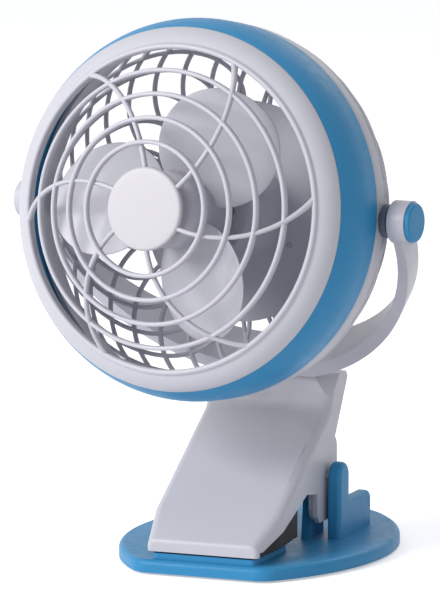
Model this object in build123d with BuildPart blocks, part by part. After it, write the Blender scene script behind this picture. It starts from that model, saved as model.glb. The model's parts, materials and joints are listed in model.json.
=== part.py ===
from build123d import *
from math import atan2, ceil, cos, degrees, hypot, pi, radians, sin, sqrt, tan
import os

os.makedirs("parts", exist_ok=True)

# A clip fan: a round head in a half-round yoke, on a spring clip whose lower jaw
# is an oval foot.  Millimetres.  The origin is on the ground under the middle of
# the foot, +Z is up and the fan blows towards -Y.

# ---------------------------------------------------------------- driving sizes
# Foot plate, which is also the lower jaw of the clip
plate_half_width = 57.5
plate_half_length = 80.0
plate_front = 70.0  # the oval is cut straight this far in front of the origin
plate_end_radius = 44.0
plate_corner_radius = 12.0
plate_top = 6.5
plate_edge_round = 2.4
plate_wall = 2.2
plate_skin = 2.2
plate_rib = 1.6
rib_spacing = 26.0
foot_height = 1.0  # how far the rubber feet stand out below the plate
foot_radius = 6.5
foot_recess = 1.2
foot_front_x = 18.0
foot_front_y = -50.0
foot_back_x = 30.0
foot_back_y = 52.0
ledge_height = 2.4  # raised grip under the lip of the upper jaw
ledge_top = plate_top + ledge_height
ledge_back = -29.0
ledge_corner = 2.5

# Upper jaw
lip_half_width = 24.3
jaw_half_width = 28.6
lip_y = -68.0
lip_gap = 0.9  # from the ledge up to the lip
lip_bottom = ledge_top + lip_gap
lip_height = 5.0
lip_round = 2.2
lip_thickness = 2.4
floor_front_z = lip_bottom + 2.2
full_width_y = -48.0  # behind this line the jaw is as wide as it gets
ramp_mid_y = -24.0
ramp_mid_z = 41.6
ramp_top_y = 8.0
ramp_top_z = 61.5
neck_front_y = 10.5
neck_round = 9.0
seat_z = 75.0
seat_wall = 4.0
seat_corner_x = 8.5  # the seat's front corners are sloped off, to let the head turn and nod
seat_corner_y = 9.5
seat_corner_drop = 9.0
jaw_back_y = 30.0
jaw_back_z = seat_z - 2.5
waist_y = 12.0
waist_z = 44.5
jaw_wall = 2.2
cover_top_margin = 5.2  # from the top corner of the back down to its cover
cover_foot_margin = 1.0
cover_corner = 2.0
joint_gap = 0.1
jaw_edge_round = 4.0
notch_y = -19.5
notch_z = 28.8
leg_front = -7.0
leg_back = 17.5
leg_bottom = plate_top + 7.5
leg_round = 6.0
leg_thickness = 4.2
floor_thickness = 2.0
collar_radius = 9.5
collar_depth = 13.0  # how far the swivel's collar reaches down from the seat
screw_radius = 1.5
screw_head_radius = 2.8
screw_head_height = 1.2
pillar_radius = 3.4
pillar_length = 10.5
screw_reach_x = 17.0
cover_screw_spots = [(-screw_reach_x, 0), (screw_reach_x, 0)]

# Hinge of the clip
pin_y = 6.5
pin_z = plate_top + 26.5
pin_radius = 2.5
running_clearance = 0.05
ear_gap = 1.4
ear_inner = jaw_half_width + ear_gap
ear_thickness = 6.2
ear_half_depth = 6.0
ear_round = 2.0
heel_back = 40.0
heel_top = plate_top + 15.3
heel_round = 4.0
pin_seat = 4.2  # how deep the pin sits in each ear
lug_gap = 1.0
lug_outer = jaw_half_width - leg_thickness - lug_gap
lug_thickness = 3.8
lug_inner = lug_outer - lug_thickness
lug_front = -3.0
lug_back = 15.0
lug_round = 5.5

# Jaw pads
pad_stand = 0.4  # how far the lower pad stands out of the ledge
pad_gap = 0.3
pad_setback = 3.0  # from the front of the lip to the pads
pad_back_y = -28.0
pad_rise = 2.6  # how much higher the upper pad's underside is at its back
pad_tooth = 3.2
pad_tooth_depth = 1.0
lower_pad_thickness = 1.5
lower_pad_half_width = 20.0
lower_pad_back = -31.0

# Torsion spring round the hinge pin
spring_wire = 1.8
spring_radius = 7.2  # to the middle of the wire
spring_full_turns = 4
spring_pitch = 2.7
lower_leg_angle = -60.0  # where on the coil each leg starts, degrees
upper_leg_angle = 53.0
spring_gap = 0.35

# Swivel between the jaw and the yoke
swivel_y = 20.0
swivel_pan = -6.5  # degrees, as photographed
spigot_radius = 4.6
flange_thickness = 4.0
flange_half_width = 25.0
flange_half_depth = 10.5
bolt_radius = 2.0
bolt_hole_clearance = 0.15
bolt_head_radius = 3.6
bolt_head_height = 2.6
bolt_seat = 7.0  # height of the bolt's head above the seat
washer_radius = 6.0
washer_thickness = 0.8
washer_pocket_gap = 0.4
nut_across = 7.0
nut_height = 2.4

# Head: depths run forward from the tilt axis, radii out from the fan's axis
head_tilt = 6.5  # degrees up, as photographed
head_wall = 2.2
seam_depth = 33.0
seam_radius = 75.0
band_bulge = 4.4
band_radius = seam_radius + band_bulge
band_depth = 17.0
shell_depth = 8.2
shell_step = 0.8
shell_radius = band_radius - shell_step
shell_side_end = 4.0
shell_back = -27.0
shell_dome = 33.6  # how far the flat back lies inside the shell's side
shell_flat_radius = shell_radius - shell_dome
skirt_length = 6.0
skirt_wall = 1.8
bezel_depth = 40.4
bezel_width = 9.4
bezel_inner = seam_radius - bezel_width
ring_thickness = 1.8
ring_height = 3.4  # front to back
ring_count = 4
ring_spacing = 9.85
ring_margin = 8.85  # from the bezel in to the outermost ring
disc_radius = 17.1
disc_depth = 62.0
disc_thickness = 3.0
disc_rim = 2.3
cage_flat_radius = 13.0  # the cage's dome falls away outside this radius
spoke_radius = 0.95
spoke_count = 6
spoke_hub_angle = -26.0
spoke_mid_angle = -9.0
spoke_rim_angle = 7.0

# Lattice of the rear grille
lattice_count = 20
lattice_margin = 1.2
lattice_step = 6.0
lattice_rows = 4
lattice_rib = 1.6
lattice_stop = 2.0

# Tilt screws and washers
tilt_boss_radius = 6.4
tilt_boss_stand = 3.0
tilt_boss_depth = 6.6
tilt_boss_out = shell_radius + tilt_boss_stand
tilt_boss_inner = shell_radius - tilt_boss_depth
tilt_washer_radius = 5.6
tilt_washer_thickness = 2.0
tilt_screw_radius = 1.5
tilt_screw_head_radius = 3.0
tilt_screw_head_height = 2.0

# Yoke
yoke_lean = 38.0  # degrees from the vertical
yoke_inner_radius = tilt_boss_out + tilt_washer_thickness
yoke_arm = 3.5
yoke_foot_thickness = 6.5
yoke_arm_width = 13.0
yoke_foot_width = 22.0
foot_reach = yoke_inner_radius + yoke_foot_thickness
foot_forward = 1.53  # how far the yoke's lowest line stands in front of the swivel axis
boss_radius = 8.9
boss_length = 7.6
boss_out = yoke_inner_radius + boss_length
cap_radius = 8.1
cap_stand = 2.2
cap_out = boss_out + cap_stand
cap_sink = 1.6
fit_gap = 0.05
pivot_reach = foot_reach * sin(radians(yoke_lean)) + foot_forward
pivot_z = seat_z + flange_thickness + foot_reach * cos(radians(yoke_lean))

# Motor and its housing
motor_radius = 18.0
motor_back = -19.0
motor_front = 6.8
motor_gap = 0.3
tub_wall = 2.2
tub_radius = motor_radius + motor_gap + tub_wall
motor_screw_reach = 12.0
motor_screw_radius = 1.2
motor_screw_head_radius = 2.3
motor_screw_head_height = 1.4
shaft_radius = 1.5
shaft_front = 43.0
bush_radius = 4.0
bush_length = 4.0
can_wall = 1.6
magnet_thickness = 3.0
armature_radius = 12.6
end_cap_thickness = 2.2
commutator_radius = 4.2
cover_rim = 10.5  # from the motor's tub out to the cover's side
cover_radius = tub_radius + cover_rim
cover_height = 9.0
cover_back = shell_back - cover_height
cover_wall = 2.0
cover_round = 4.5
vent_width = 2.2
vent_length = 7.0
vent_radius = 19.5
vent_angle = 16.0
head_screw_inset = 4.5
head_screw_reach = cover_radius - head_screw_inset
head_screw_count = 3

# Switch and inlet on the back of the motor cover
switch_up = 8.5
switch_half_width = 3.6
switch_half_height = 6.2
switch_wall = 1.1
switch_frame = 1.2
switch_depth = 8.0
rocker_half_height = 4.0
rocker_throw = 8.0
rocker_pin = 0.9
rocker_axis_depth = 2.6
inlet_down = 12.5
inlet_radius = 4.6
inlet_bore = 2.8
inlet_pin = 1.0
inlet_length = 9.0
inlet_bore_depth = 7.5

# Impeller
hub_radius = 16.0
hub_front = 47.0
hub_back = 18.0
hub_wall = 1.8
blade_margin = 12.6  # from the bezel's opening in to the blades' tips
blade_tip = bezel_inner - blade_margin
hub_round = 4.0
sleeve_radius = 4.0
blade_count = 3
blade_first_angle = 55.0
blade_radial = 24.0  # half lengths of the petal, out from the hub and across
blade_side = 26.0
blade_pitch = 22.0
blade_camber = 2.0
blade_thickness = 1.5
blade_mid_depth = 31.0

# ------------------------------------------------------------ reference planes
side_plane = Plane.YZ  # sketches here are (back, up)

swivel_plane = Plane(
    origin=(0, swivel_y, seat_z),
    x_dir=(cos(radians(swivel_pan)), sin(radians(swivel_pan)), 0),
    z_dir=(0, 0, 1),
)
swivel_side = Plane(
    origin=swivel_plane.origin, x_dir=swivel_plane.y_dir, z_dir=swivel_plane.x_dir
)


def swivelled(right, back, up):
    """Direction given along the turned axes of the yoke and the head."""
    return swivel_plane.x_dir * right + swivel_plane.y_dir * back + swivel_plane.z_dir * up


pivot = swivel_plane.from_local_coords(Vector(0, -pivot_reach, pivot_z - seat_z))

# (right, up along the yoke), facing forwards and down
yoke_plane = Plane(
    origin=pivot,
    x_dir=swivelled(1, 0, 0),
    z_dir=swivelled(0, -cos(radians(yoke_lean)), -sin(radians(yoke_lean))),
)
# (up along the yoke, forwards)
yoke_side = Plane(origin=pivot, x_dir=yoke_plane.y_dir, z_dir=yoke_plane.x_dir)

# (right, up), facing the way the fan blows
head_plane = Plane(
    origin=pivot,
    x_dir=swivelled(1, 0, 0),
    z_dir=swivelled(0, -cos(radians(head_tilt)), sin(radians(head_tilt))),
)
head_axis = Axis(pivot, head_plane.z_dir)
# (radius, depth), the half section that the round parts are turned from
head_section = Plane(origin=pivot, x_dir=head_plane.x_dir, z_dir=-head_plane.y_dir)


def pivot_end(side, reach):
    """Plane across the tilt axis, facing outwards, at a distance from its middle."""
    return Plane(
        origin=pivot + head_plane.x_dir * side * reach,
        x_dir=head_plane.y_dir * side,
        z_dir=head_plane.x_dir * side,
    )


def polar(radius, angle):
    """Point at an angle in degrees, counter-clockwise from the right."""
    return (radius * cos(radians(angle)), radius * sin(radians(angle)))


def save(piece, name):
    """Label a finished piece and write its file."""
    piece.part.label = name
    export_step(piece.part, f"parts/{name}.step")


# ------------------------------------------------------------------ foot plate
side_radius = (
    plate_half_width**2 + plate_half_length**2 - 2 * plate_half_length * plate_end_radius
) / (2 * (plate_half_width - plate_end_radius))


def plate_outline(inset=0.0):
    """Oval of tangent arcs, cut straight across the front, drawn in by an inset."""
    side_centre = plate_half_width - side_radius
    end_centre = plate_half_length - plate_end_radius
    slant = atan2(end_centre, -side_centre)
    joint = (
        plate_end_radius * cos(slant),
        end_centre + plate_end_radius * sin(slant),
    )
    front_x = side_centre + sqrt(side_radius**2 - plate_front**2)
    with BuildSketch() as outline:
        with BuildLine():
            ThreePointArc((front_x, -plate_front), (plate_half_width, 0), joint)
            ThreePointArc(joint, (0, plate_half_length), (-joint[0], joint[1]))
            ThreePointArc(
                (-joint[0], joint[1]), (-plate_half_width, 0), (-front_x, -plate_front)
            )
            Line((-front_x, -plate_front), (front_x, -plate_front))
        make_face()
        fillet(outline.vertices().group_by(Axis.Y)[0], plate_corner_radius)
        if inset:
            offset(amount=-inset, mode=Mode.REPLACE)
    return outline.sketch


foot_spots = [
    (0, 0),
    (-foot_front_x, foot_front_y),
    (foot_front_x, foot_front_y),
    (-foot_back_x, foot_back_y),
    (foot_back_x, foot_back_y),
]
pad_front_y = lip_y + pad_setback
lower_pad_top = ledge_top + pad_stand
lower_pad_bottom = lower_pad_top - lower_pad_thickness
lower_pad_length = lower_pad_back - pad_front_y
lower_pad_middle = (lower_pad_back + pad_front_y) / 2


def hinge_ear(side):
    """Upright of the clip's hinge with the heel behind it, its edges rounded."""
    with BuildPart() as ear:
        with BuildSketch(side_plane.offset(side * ear_inner)) as outline:
            with BuildLine():
                Polyline(
                    (pin_y - ear_half_depth, pin_z),
                    (pin_y - ear_half_depth, plate_top - plate_skin / 2),
                    (heel_back, plate_top - plate_skin / 2),
                    (heel_back, heel_top),
                    (pin_y + ear_half_depth, heel_top),
                    (pin_y + ear_half_depth, pin_z),
                )
                RadiusArc(
                    (pin_y + ear_half_depth, pin_z),
                    (pin_y - ear_half_depth, pin_z),
                    -ear_half_depth,
                )
            make_face()
            heel_corner = outline.vertices().sort_by_distance((heel_back, heel_top))[0]
            ear_corner = outline.vertices().sort_by_distance((pin_y + ear_half_depth, heel_top))[0]
            fillet([heel_corner, ear_corner], heel_round)
        extrude(amount=side * ear_thickness)
        shown = ear.edges().filter_by(lambda edge: edge.center().Z > plate_top)
        fillet(shown.filter_by(lambda edge: abs(edge.tangent_at(0.5).X) < 0.1), ear_round)
    return ear.part

with BuildPart() as base_plate:
    with BuildSketch(Plane.XY.offset(foot_height)):
        add(plate_outline())
    extrude(amount=plate_top - foot_height)
    fillet(base_plate.faces().sort_by(Axis.Z)[-1].edges(), plate_edge_round)
    # hollow underside with a grid of ribs and a boss over each foot
    with BuildSketch(Plane.XY.offset(foot_height)):
        add(plate_outline(plate_wall))
    extrude(amount=plate_top - plate_skin - foot_height, mode=Mode.SUBTRACT)
    with BuildSketch(Plane.XY.offset(foot_height)):
        add(plate_outline(plate_wall / 2))
        with BuildSketch(mode=Mode.INTERSECT):
            rows = ceil(plate_half_length / rib_spacing)
            for row in range(-rows, rows + 1):
                with Locations((0, row * rib_spacing)):
                    Rectangle(2 * plate_half_width, plate_rib)
            for column in (-1, 0, 1):
                with Locations((column * rib_spacing, 0)):
                    Rectangle(plate_rib, 2 * plate_half_length)
            with Locations(*foot_spots):
                Circle(foot_radius + plate_wall)
    extrude(amount=plate_top - plate_skin / 2 - foot_height)
    with BuildSketch(Plane.XY.offset(foot_height)):
        with Locations(*foot_spots):
            Circle(foot_radius)
    extrude(amount=foot_recess, mode=Mode.SUBTRACT)
    # raised grip with a shallow recess for the lower jaw pad
    with BuildSketch(Plane.XY.offset(plate_top - plate_skin / 2)):
        with Locations((0, (ledge_back + lip_y + lip_thickness) / 2)):
            RectangleRounded(
                2 * (lip_half_width - jaw_wall / 2),
                ledge_back - lip_y - lip_thickness / 2,
                ledge_corner,
            )
    extrude(amount=ledge_height + plate_skin / 2)
    with BuildSketch(Plane.XY.offset(lower_pad_bottom)):
        with Locations((0, lower_pad_middle)):
            Rectangle(2 * lower_pad_half_width, lower_pad_length)
    extrude(amount=lower_pad_thickness, mode=Mode.SUBTRACT)
    # ears with their heels, and the lugs inside the legs
    for side in (-1, 1):
        add(hinge_ear(side))
        with BuildSketch(side_plane.offset(side * lug_inner)):
            with BuildLine():
                Polyline(
                    (pin_y - lug_round, pin_z),
                    (lug_front, plate_top - plate_skin / 2),
                    (lug_back, plate_top - plate_skin / 2),
                    (pin_y + lug_round, pin_z),
                )
                RadiusArc(
                    (pin_y + lug_round, pin_z), (pin_y - lug_round, pin_z), -lug_round
                )
            make_face()
        extrude(amount=side * lug_thickness)
        with BuildSketch(side_plane.offset(side * (ear_inner + pin_seat))):
            with Locations((pin_y, pin_z)):
                Circle(pin_radius + running_clearance)
        extrude(amount=-side * (ear_inner + pin_seat - lug_inner), mode=Mode.SUBTRACT)
save(base_plate, "base_plate")

with BuildPart() as foot_pads:
    with BuildSketch(Plane.XY):
        with Locations(*foot_spots):
            Circle(foot_radius - fit_gap)
    extrude(amount=foot_height + foot_recess)
save(foot_pads, "foot_pads")

with BuildPart() as lower_jaw_pad:
    with BuildSketch(Plane.XY.offset(lower_pad_bottom)):
        with Locations((0, lower_pad_middle)):
            Rectangle(2 * (lower_pad_half_width - fit_gap), lower_pad_length - 2 * fit_gap)
    extrude(amount=lower_pad_thickness)
    with BuildSketch(Plane.XY.offset(lower_pad_top)):
        with GridLocations(0, 2 * pad_tooth, 1, int(lower_pad_length / (2 * pad_tooth))):
            with Locations((0, lower_pad_middle)):
                Rectangle(2 * lower_pad_half_width, pad_tooth / 2)
    extrude(amount=-lower_pad_thickness / 2, mode=Mode.SUBTRACT)
save(lower_jaw_pad, "lower_jaw_pad")

with BuildPart() as hinge_pin:
    pin_half = ear_inner + pin_seat - fit_gap
    with BuildSketch(side_plane.offset(-pin_half)):
        with Locations((pin_y, pin_z)):
            Circle(pin_radius)
    extrude(amount=2 * pin_half)
    chamfer(hinge_pin.edges().filter_by(GeomType.CIRCLE), 0.4)
save(hinge_pin, "hinge_pin")

# ------------------------------------------------------------------- upper jaw
back_slope = Vector(0, jaw_back_y - waist_y, jaw_back_z - waist_z).normalized()
back_normal = Vector(0, back_slope.Z, -back_slope.Y)
back_plane = Plane(  # (left, up the slope), facing backwards
    origin=(0, (jaw_back_y + waist_y) / 2, (jaw_back_z + waist_z) / 2),
    x_dir=(-1, 0, 0),
    z_dir=back_normal,
)
back_length = hypot(jaw_back_y - waist_y, jaw_back_z - waist_z)
back_cover_height = back_length - cover_top_margin - cover_foot_margin
back_cover_shift = (cover_foot_margin - cover_top_margin) / 2
ramp_angle = atan2(ramp_top_z - ramp_mid_z, ramp_top_y - ramp_mid_y)


def floor_z(y):
    """Height of the jaw's floor and of its side walls' lower edges."""
    rise = (notch_z - floor_front_z) / (notch_y - lip_y - 2 * lip_thickness)
    return floor_front_z + (y - lip_y - 2 * lip_thickness) * rise


def jaw_side(inset):
    """Side view of the jaw.  With an inset it is the hollow, open below and behind."""
    rise = inset / cos(ramp_angle)
    with BuildSketch() as profile:
        with BuildLine():
            ramp = ThreePointArc(
                (lip_y + inset * 1.6, lip_bottom + lip_height - inset * 0.6),
                (ramp_mid_y, ramp_mid_z - rise),
                (ramp_top_y + inset / 2, ramp_top_z - rise),
            )
            if inset:
                Polyline(
                    ramp @ 1,
                    (neck_front_y + inset, seat_z - seat_wall),
                    (jaw_back_y, seat_z - seat_wall),
                    (jaw_back_y + inset, jaw_back_z - 2 * inset),
                    (leg_back + inset, waist_z),
                    (leg_back + inset, leg_bottom - inset),
                    (notch_y - inset, leg_bottom - inset),
                    (notch_y - inset, floor_z(notch_y - inset) + floor_thickness),
                    ramp @ 0,
                )
            else:
                Polyline(
                    ramp @ 1,
                    (neck_front_y, seat_z),
                    (jaw_back_y - 2, seat_z),
                    (jaw_back_y, jaw_back_z),
                    (waist_y, waist_z),
                    (leg_back, waist_z - 9),
                    (leg_back, leg_bottom + leg_round),
                    (leg_back - leg_round, leg_bottom),
                    (leg_front + leg_round / 2, leg_bottom),
                    (leg_front, leg_bottom + leg_round / 2),
                    (leg_front, notch_z - 2),
                    (notch_y, notch_z),
                    (lip_y + 2 * lip_thickness, floor_front_z),
                    (lip_y + lip_thickness, floor_front_z),
                    (lip_y + lip_thickness, lip_bottom),
                    (lip_y + 0.5, lip_bottom),
                    ramp @ 0,
                )
        make_face()
        if not inset:
            fillet(profile.vertices().sort_by_distance((ramp_top_y, ramp_top_z))[0], neck_round)
    return profile.sketch


def jaw_plan(inset):
    """Plan view of the jaw: narrow at the lip, full width from the notch back."""
    full = jaw_half_width - inset
    lip = lip_half_width - inset
    with BuildSketch() as outline:
        with BuildLine():
            Polyline(
                (-lip, lip_y - 1),
                (lip, lip_y - 1),
                (full, full_width_y),
                (full, jaw_back_y + 5),
                (-full, jaw_back_y + 5),
                (-full, full_width_y),
                close=True,
            )
        make_face()
    return outline.sketch


def seat_corner(side, inset):
    """Wedge outside the slope at one front corner of the seat, drawn in by an inset."""
    far_x = side * (jaw_half_width + 1)
    far_y = neck_front_y - 5
    reach = inset * (1 / seat_corner_x + 1 / seat_corner_y)
    with BuildPart() as wedge:
        for share, z in ((1, seat_z), (0, seat_z - seat_corner_drop)):
            grow = share + reach + 5 / seat_corner_y + 1 / seat_corner_x
            with BuildSketch(Plane.XY.offset(z)):
                with BuildLine():
                    Polyline(
                        (far_x, far_y),
                        (far_x - side * grow * seat_corner_x, far_y),
                        (far_x, far_y + grow * seat_corner_y),
                        close=True,
                    )
                make_face()
        loft(ruled=True)
    return wedge.part


with BuildPart() as jaw_hollow:
    with BuildSketch(side_plane):
        add(jaw_side(jaw_wall))
    extrude(amount=jaw_half_width, both=True)
    with BuildSketch(Plane.XY):
        add(jaw_plan(jaw_wall))
    extrude(amount=2 * seat_z, mode=Mode.INTERSECT)
    add([seat_corner(side, jaw_wall) for side in (-1, 1)], mode=Mode.SUBTRACT)

with BuildPart() as jaw_body:
    with BuildSketch(side_plane):
        add(jaw_side(0))
    extrude(amount=jaw_half_width, both=True)
    with BuildSketch(Plane.XY):
        add(jaw_plan(0))
    extrude(amount=2 * seat_z, mode=Mode.INTERSECT)
    upper_faces = jaw_body.faces().filter_by(
        lambda face: face.normal_at().Z > 0.05 and face.normal_at().Y < -0.05
    )
    fillet(
        upper_faces.edges().filter_by(lambda edge: abs(edge.tangent_at(0.5).X) < 0.3),
        jaw_edge_round,
    )
    lip_edges = jaw_body.edges().filter_by(
        lambda edge: abs(edge.center().Y - lip_y) < 0.6 and edge.center().Z > lip_bottom + 2
    )
    fillet(lip_edges, lip_round)
    add([seat_corner(side, 0) for side in (-1, 1)], mode=Mode.SUBTRACT)
    add(jaw_hollow.part, mode=Mode.SUBTRACT)
    # legs either side of the spring, thicker than the walls, bored for the pin
    for side in (-1, 1):
        with BuildSketch(side_plane.offset(side * jaw_half_width)):
            with Locations(((leg_front + leg_back) / 2, pin_z - 1)):
                RectangleRounded(
                    leg_back - leg_front - 1, 2 * (pin_z - 1 - leg_bottom) - 1, leg_round
                )
        extrude(amount=-side * leg_thickness)
        with BuildSketch(side_plane.offset(side * jaw_half_width)):
            with Locations((pin_y, pin_z)):
                Circle(pin_radius + running_clearance)
        extrude(amount=-side * leg_thickness, mode=Mode.SUBTRACT)
    # collar for the swivel, which reaches down into the shell
    with BuildSketch(Plane.XY.offset(seat_z)):
        with Locations((0, swivel_y)):
            Circle(collar_radius)
    collar = extrude(amount=-collar_depth, mode=Mode.PRIVATE)
    add(split(collar, bisect_by=back_plane, keep=Keep.BOTTOM, mode=Mode.PRIVATE))
    with BuildSketch(Plane.XY.offset(seat_z)):
        with Locations((0, swivel_y)):
            Circle(spigot_radius + running_clearance)
    extrude(amount=-collar_depth, mode=Mode.SUBTRACT)
    # room below the seat for the washer and the nut
    with BuildSketch(Plane.XY.offset(seat_z - seat_wall)):
        with Locations((0, swivel_y)):
            Circle(washer_radius + washer_pocket_gap)
    extrude(amount=-collar_depth, mode=Mode.SUBTRACT)
    # rebate for the back cover
    with BuildSketch(back_plane):
        with Locations((0, back_cover_shift)):
            RectangleRounded(
                2 * (jaw_half_width - jaw_wall), back_cover_height + 2 * joint_gap, cover_corner
            )
    extrude(amount=-jaw_wall - joint_gap, mode=Mode.SUBTRACT)
    # pillars for the screws of the back cover
    with BuildSketch(back_plane.offset(-jaw_wall)):
        with Locations(*cover_screw_spots):
            Circle(pillar_radius)
    extrude(amount=-pillar_length)
    with BuildSketch(back_plane.offset(-jaw_wall)):
        with Locations(*cover_screw_spots):
            Circle(screw_radius - 0.3)
    extrude(amount=-pillar_length * 0.8, mode=Mode.SUBTRACT)
save(jaw_body, "jaw_body")

with BuildPart() as jaw_back:
    with BuildSketch(back_plane):
        with Locations((0, back_cover_shift)):
            RectangleRounded(
                2 * (jaw_half_width - jaw_wall - joint_gap), back_cover_height, cover_corner
            )
    extrude(amount=-jaw_wall)
    for spot in cover_screw_spots:
        with BuildSketch(back_plane):
            with Locations(spot):
                Circle(screw_head_radius + joint_gap)
        extrude(amount=-screw_head_height, mode=Mode.SUBTRACT)
        with BuildSketch(back_plane):
            with Locations(spot):
                Circle(screw_radius + joint_gap)
        extrude(amount=-jaw_wall, mode=Mode.SUBTRACT)
save(jaw_back, "jaw_back")

with BuildPart() as jaw_screws:
    with BuildSketch(back_plane):
        with Locations(*cover_screw_spots):
            Circle(screw_head_radius)
    extrude(amount=-screw_head_height)
    with BuildSketch(back_plane):
        with Locations(*cover_screw_spots):
            Circle(screw_radius - 0.3)
    extrude(amount=-jaw_wall - pillar_length * 0.6)
    with BuildSketch(back_plane):
        with Locations(*cover_screw_spots):
            Rectangle(2 * screw_radius, 0.8)
            Rectangle(0.8, 2 * screw_radius)
    extrude(amount=-screw_head_height / 2, mode=Mode.SUBTRACT)
save(jaw_screws, "jaw_screws")

# The rubber wedge behind the lip.  Its top lies on the floor of the jaw.
pad_tip_z = lower_pad_top + pad_gap
pad_back_z = pad_tip_z + pad_rise

with BuildPart() as upper_jaw_pad:
    with BuildSketch(side_plane):
        with BuildLine():
            Polyline(
                (pad_front_y, floor_front_z),
                (pad_front_y, pad_tip_z),
                (pad_front_y + 4, pad_tip_z),
                (pad_back_y, pad_back_z),
                (pad_back_y, floor_z(pad_back_y)),
                (lip_y + 2 * lip_thickness, floor_front_z),
                close=True,
            )
        make_face()
        bite = (pad_back_z - pad_tip_z) / (pad_back_y - pad_front_y - 4)
        teeth = int((pad_back_y - pad_front_y - 8) / pad_tooth)
        for tooth in range(teeth):
            y = pad_front_y + 6 + tooth * pad_tooth
            with Locations((y, pad_tip_z + (y - pad_front_y - 4) * bite)):
                Rectangle(pad_tooth * 0.45, 2 * pad_tooth_depth, mode=Mode.SUBTRACT)
    extrude(amount=jaw_half_width, both=True)
    with BuildSketch(Plane.XY):
        add(jaw_plan(jaw_wall / 2))
    extrude(amount=seat_z, mode=Mode.INTERSECT)
save(upper_jaw_pad, "upper_jaw_pad")

# -------------------------------------------------------------- torsion spring
# One wire: a straight leg on the plate, the coil round the pin, and a straight
# leg up to the jaw.  The coil is a helix drawn with two tangent arcs a quarter turn.
coil_turn = upper_leg_angle - lower_leg_angle + 360 * spring_full_turns
coil_start_x = -spring_pitch * coil_turn / 360 / 2
axial_slope = spring_pitch / 360


def coil_point(angle):
    """Middle of the wire at an angle along the coil, in degrees."""
    return Vector(
        coil_start_x + axial_slope * (angle - lower_leg_angle),
        pin_y + spring_radius * cos(radians(angle)),
        pin_z + spring_radius * sin(radians(angle)),
    )


def coil_direction(angle):
    """Unit vector along the wire at an angle along the coil."""
    return Vector(
        degrees(axial_slope),
        -spring_radius * sin(radians(angle)),
        spring_radius * cos(radians(angle)),
    ).normalized()


def biarc(start, start_direction, end, end_direction):
    """Two arcs that join two points and are tangent to both directions."""
    chord = end - start
    both = start_direction + end_direction
    bend = 2 * (start_direction.dot(end_direction) - 1)
    middle = chord.dot(both)
    reach = (2 * middle - sqrt(4 * middle**2 - 4 * bend * chord.dot(chord))) / (2 * bend)
    joint = (start + start_direction * reach + end - end_direction * reach) * 0.5
    along = (end - end_direction * reach) - (start + start_direction * reach)
    return [
        Edge.make_tangent_arc(start, start_direction, joint),
        Edge.make_tangent_arc(joint, along.normalized(), end),
    ]


coil_steps = ceil(coil_turn / 90)
coil_angles = [
    lower_leg_angle + coil_turn * step / coil_steps for step in range(coil_steps + 1)
]
lower_direction = coil_direction(coil_angles[0])
upper_direction = coil_direction(coil_angles[-1])
lower_reach = (
    coil_point(coil_angles[0]).Z - plate_top - spring_wire / 2 - spring_gap
) / lower_direction.Z
ramp_under = Vector(0, ramp_mid_y, ramp_mid_z - (jaw_wall + spring_wire / 2) / cos(ramp_angle))
upper_start = coil_point(coil_angles[-1])
ramp_rise = tan(ramp_angle)
upper_reach = (
    ramp_under.Z + (upper_start.Y - ramp_under.Y) * ramp_rise - upper_start.Z - spring_gap
) / (upper_direction.Z - upper_direction.Y * ramp_rise)
lower_end = coil_point(coil_angles[0]) - lower_direction * lower_reach
upper_end = upper_start + upper_direction * upper_reach
coil_edges = [Edge.make_line(lower_end, coil_point(coil_angles[0]))]
for first, second in zip(coil_angles, coil_angles[1:]):
    coil_edges += biarc(
        coil_point(first), coil_direction(first), coil_point(second), coil_direction(second)
    )
coil_edges.append(Edge.make_line(upper_start, upper_end))
spring_path = Wire(coil_edges)

with BuildPart() as torsion_spring:
    with BuildSketch(Plane(origin=lower_end, z_dir=lower_direction)):
        Circle(spring_wire / 2)
    sweep(path=spring_path)
save(torsion_spring, "torsion_spring")
samples = [coil_point(angle) for angle in range(round(coil_angles[0]), round(coil_angles[-1]), 6)]
spring_self_gap = min(
    (samples[i] - samples[j]).length
    for i in range(len(samples))
    for j in range(i + 30, len(samples))
) - spring_wire
print(f"torsion spring: least gap to itself {spring_self_gap:.2f} mm")

# ------------------------------------------------------------------------ yoke
def yoke_spot(down, forward):
    """(back, up) from the swivel's seat, of a point down the yoke and in front of it."""
    lean = radians(yoke_lean)
    return (
        -pivot_reach + down * sin(lean) - forward * cos(lean),
        pivot_z - seat_z - down * cos(lean) - forward * sin(lean),
    )


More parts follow.
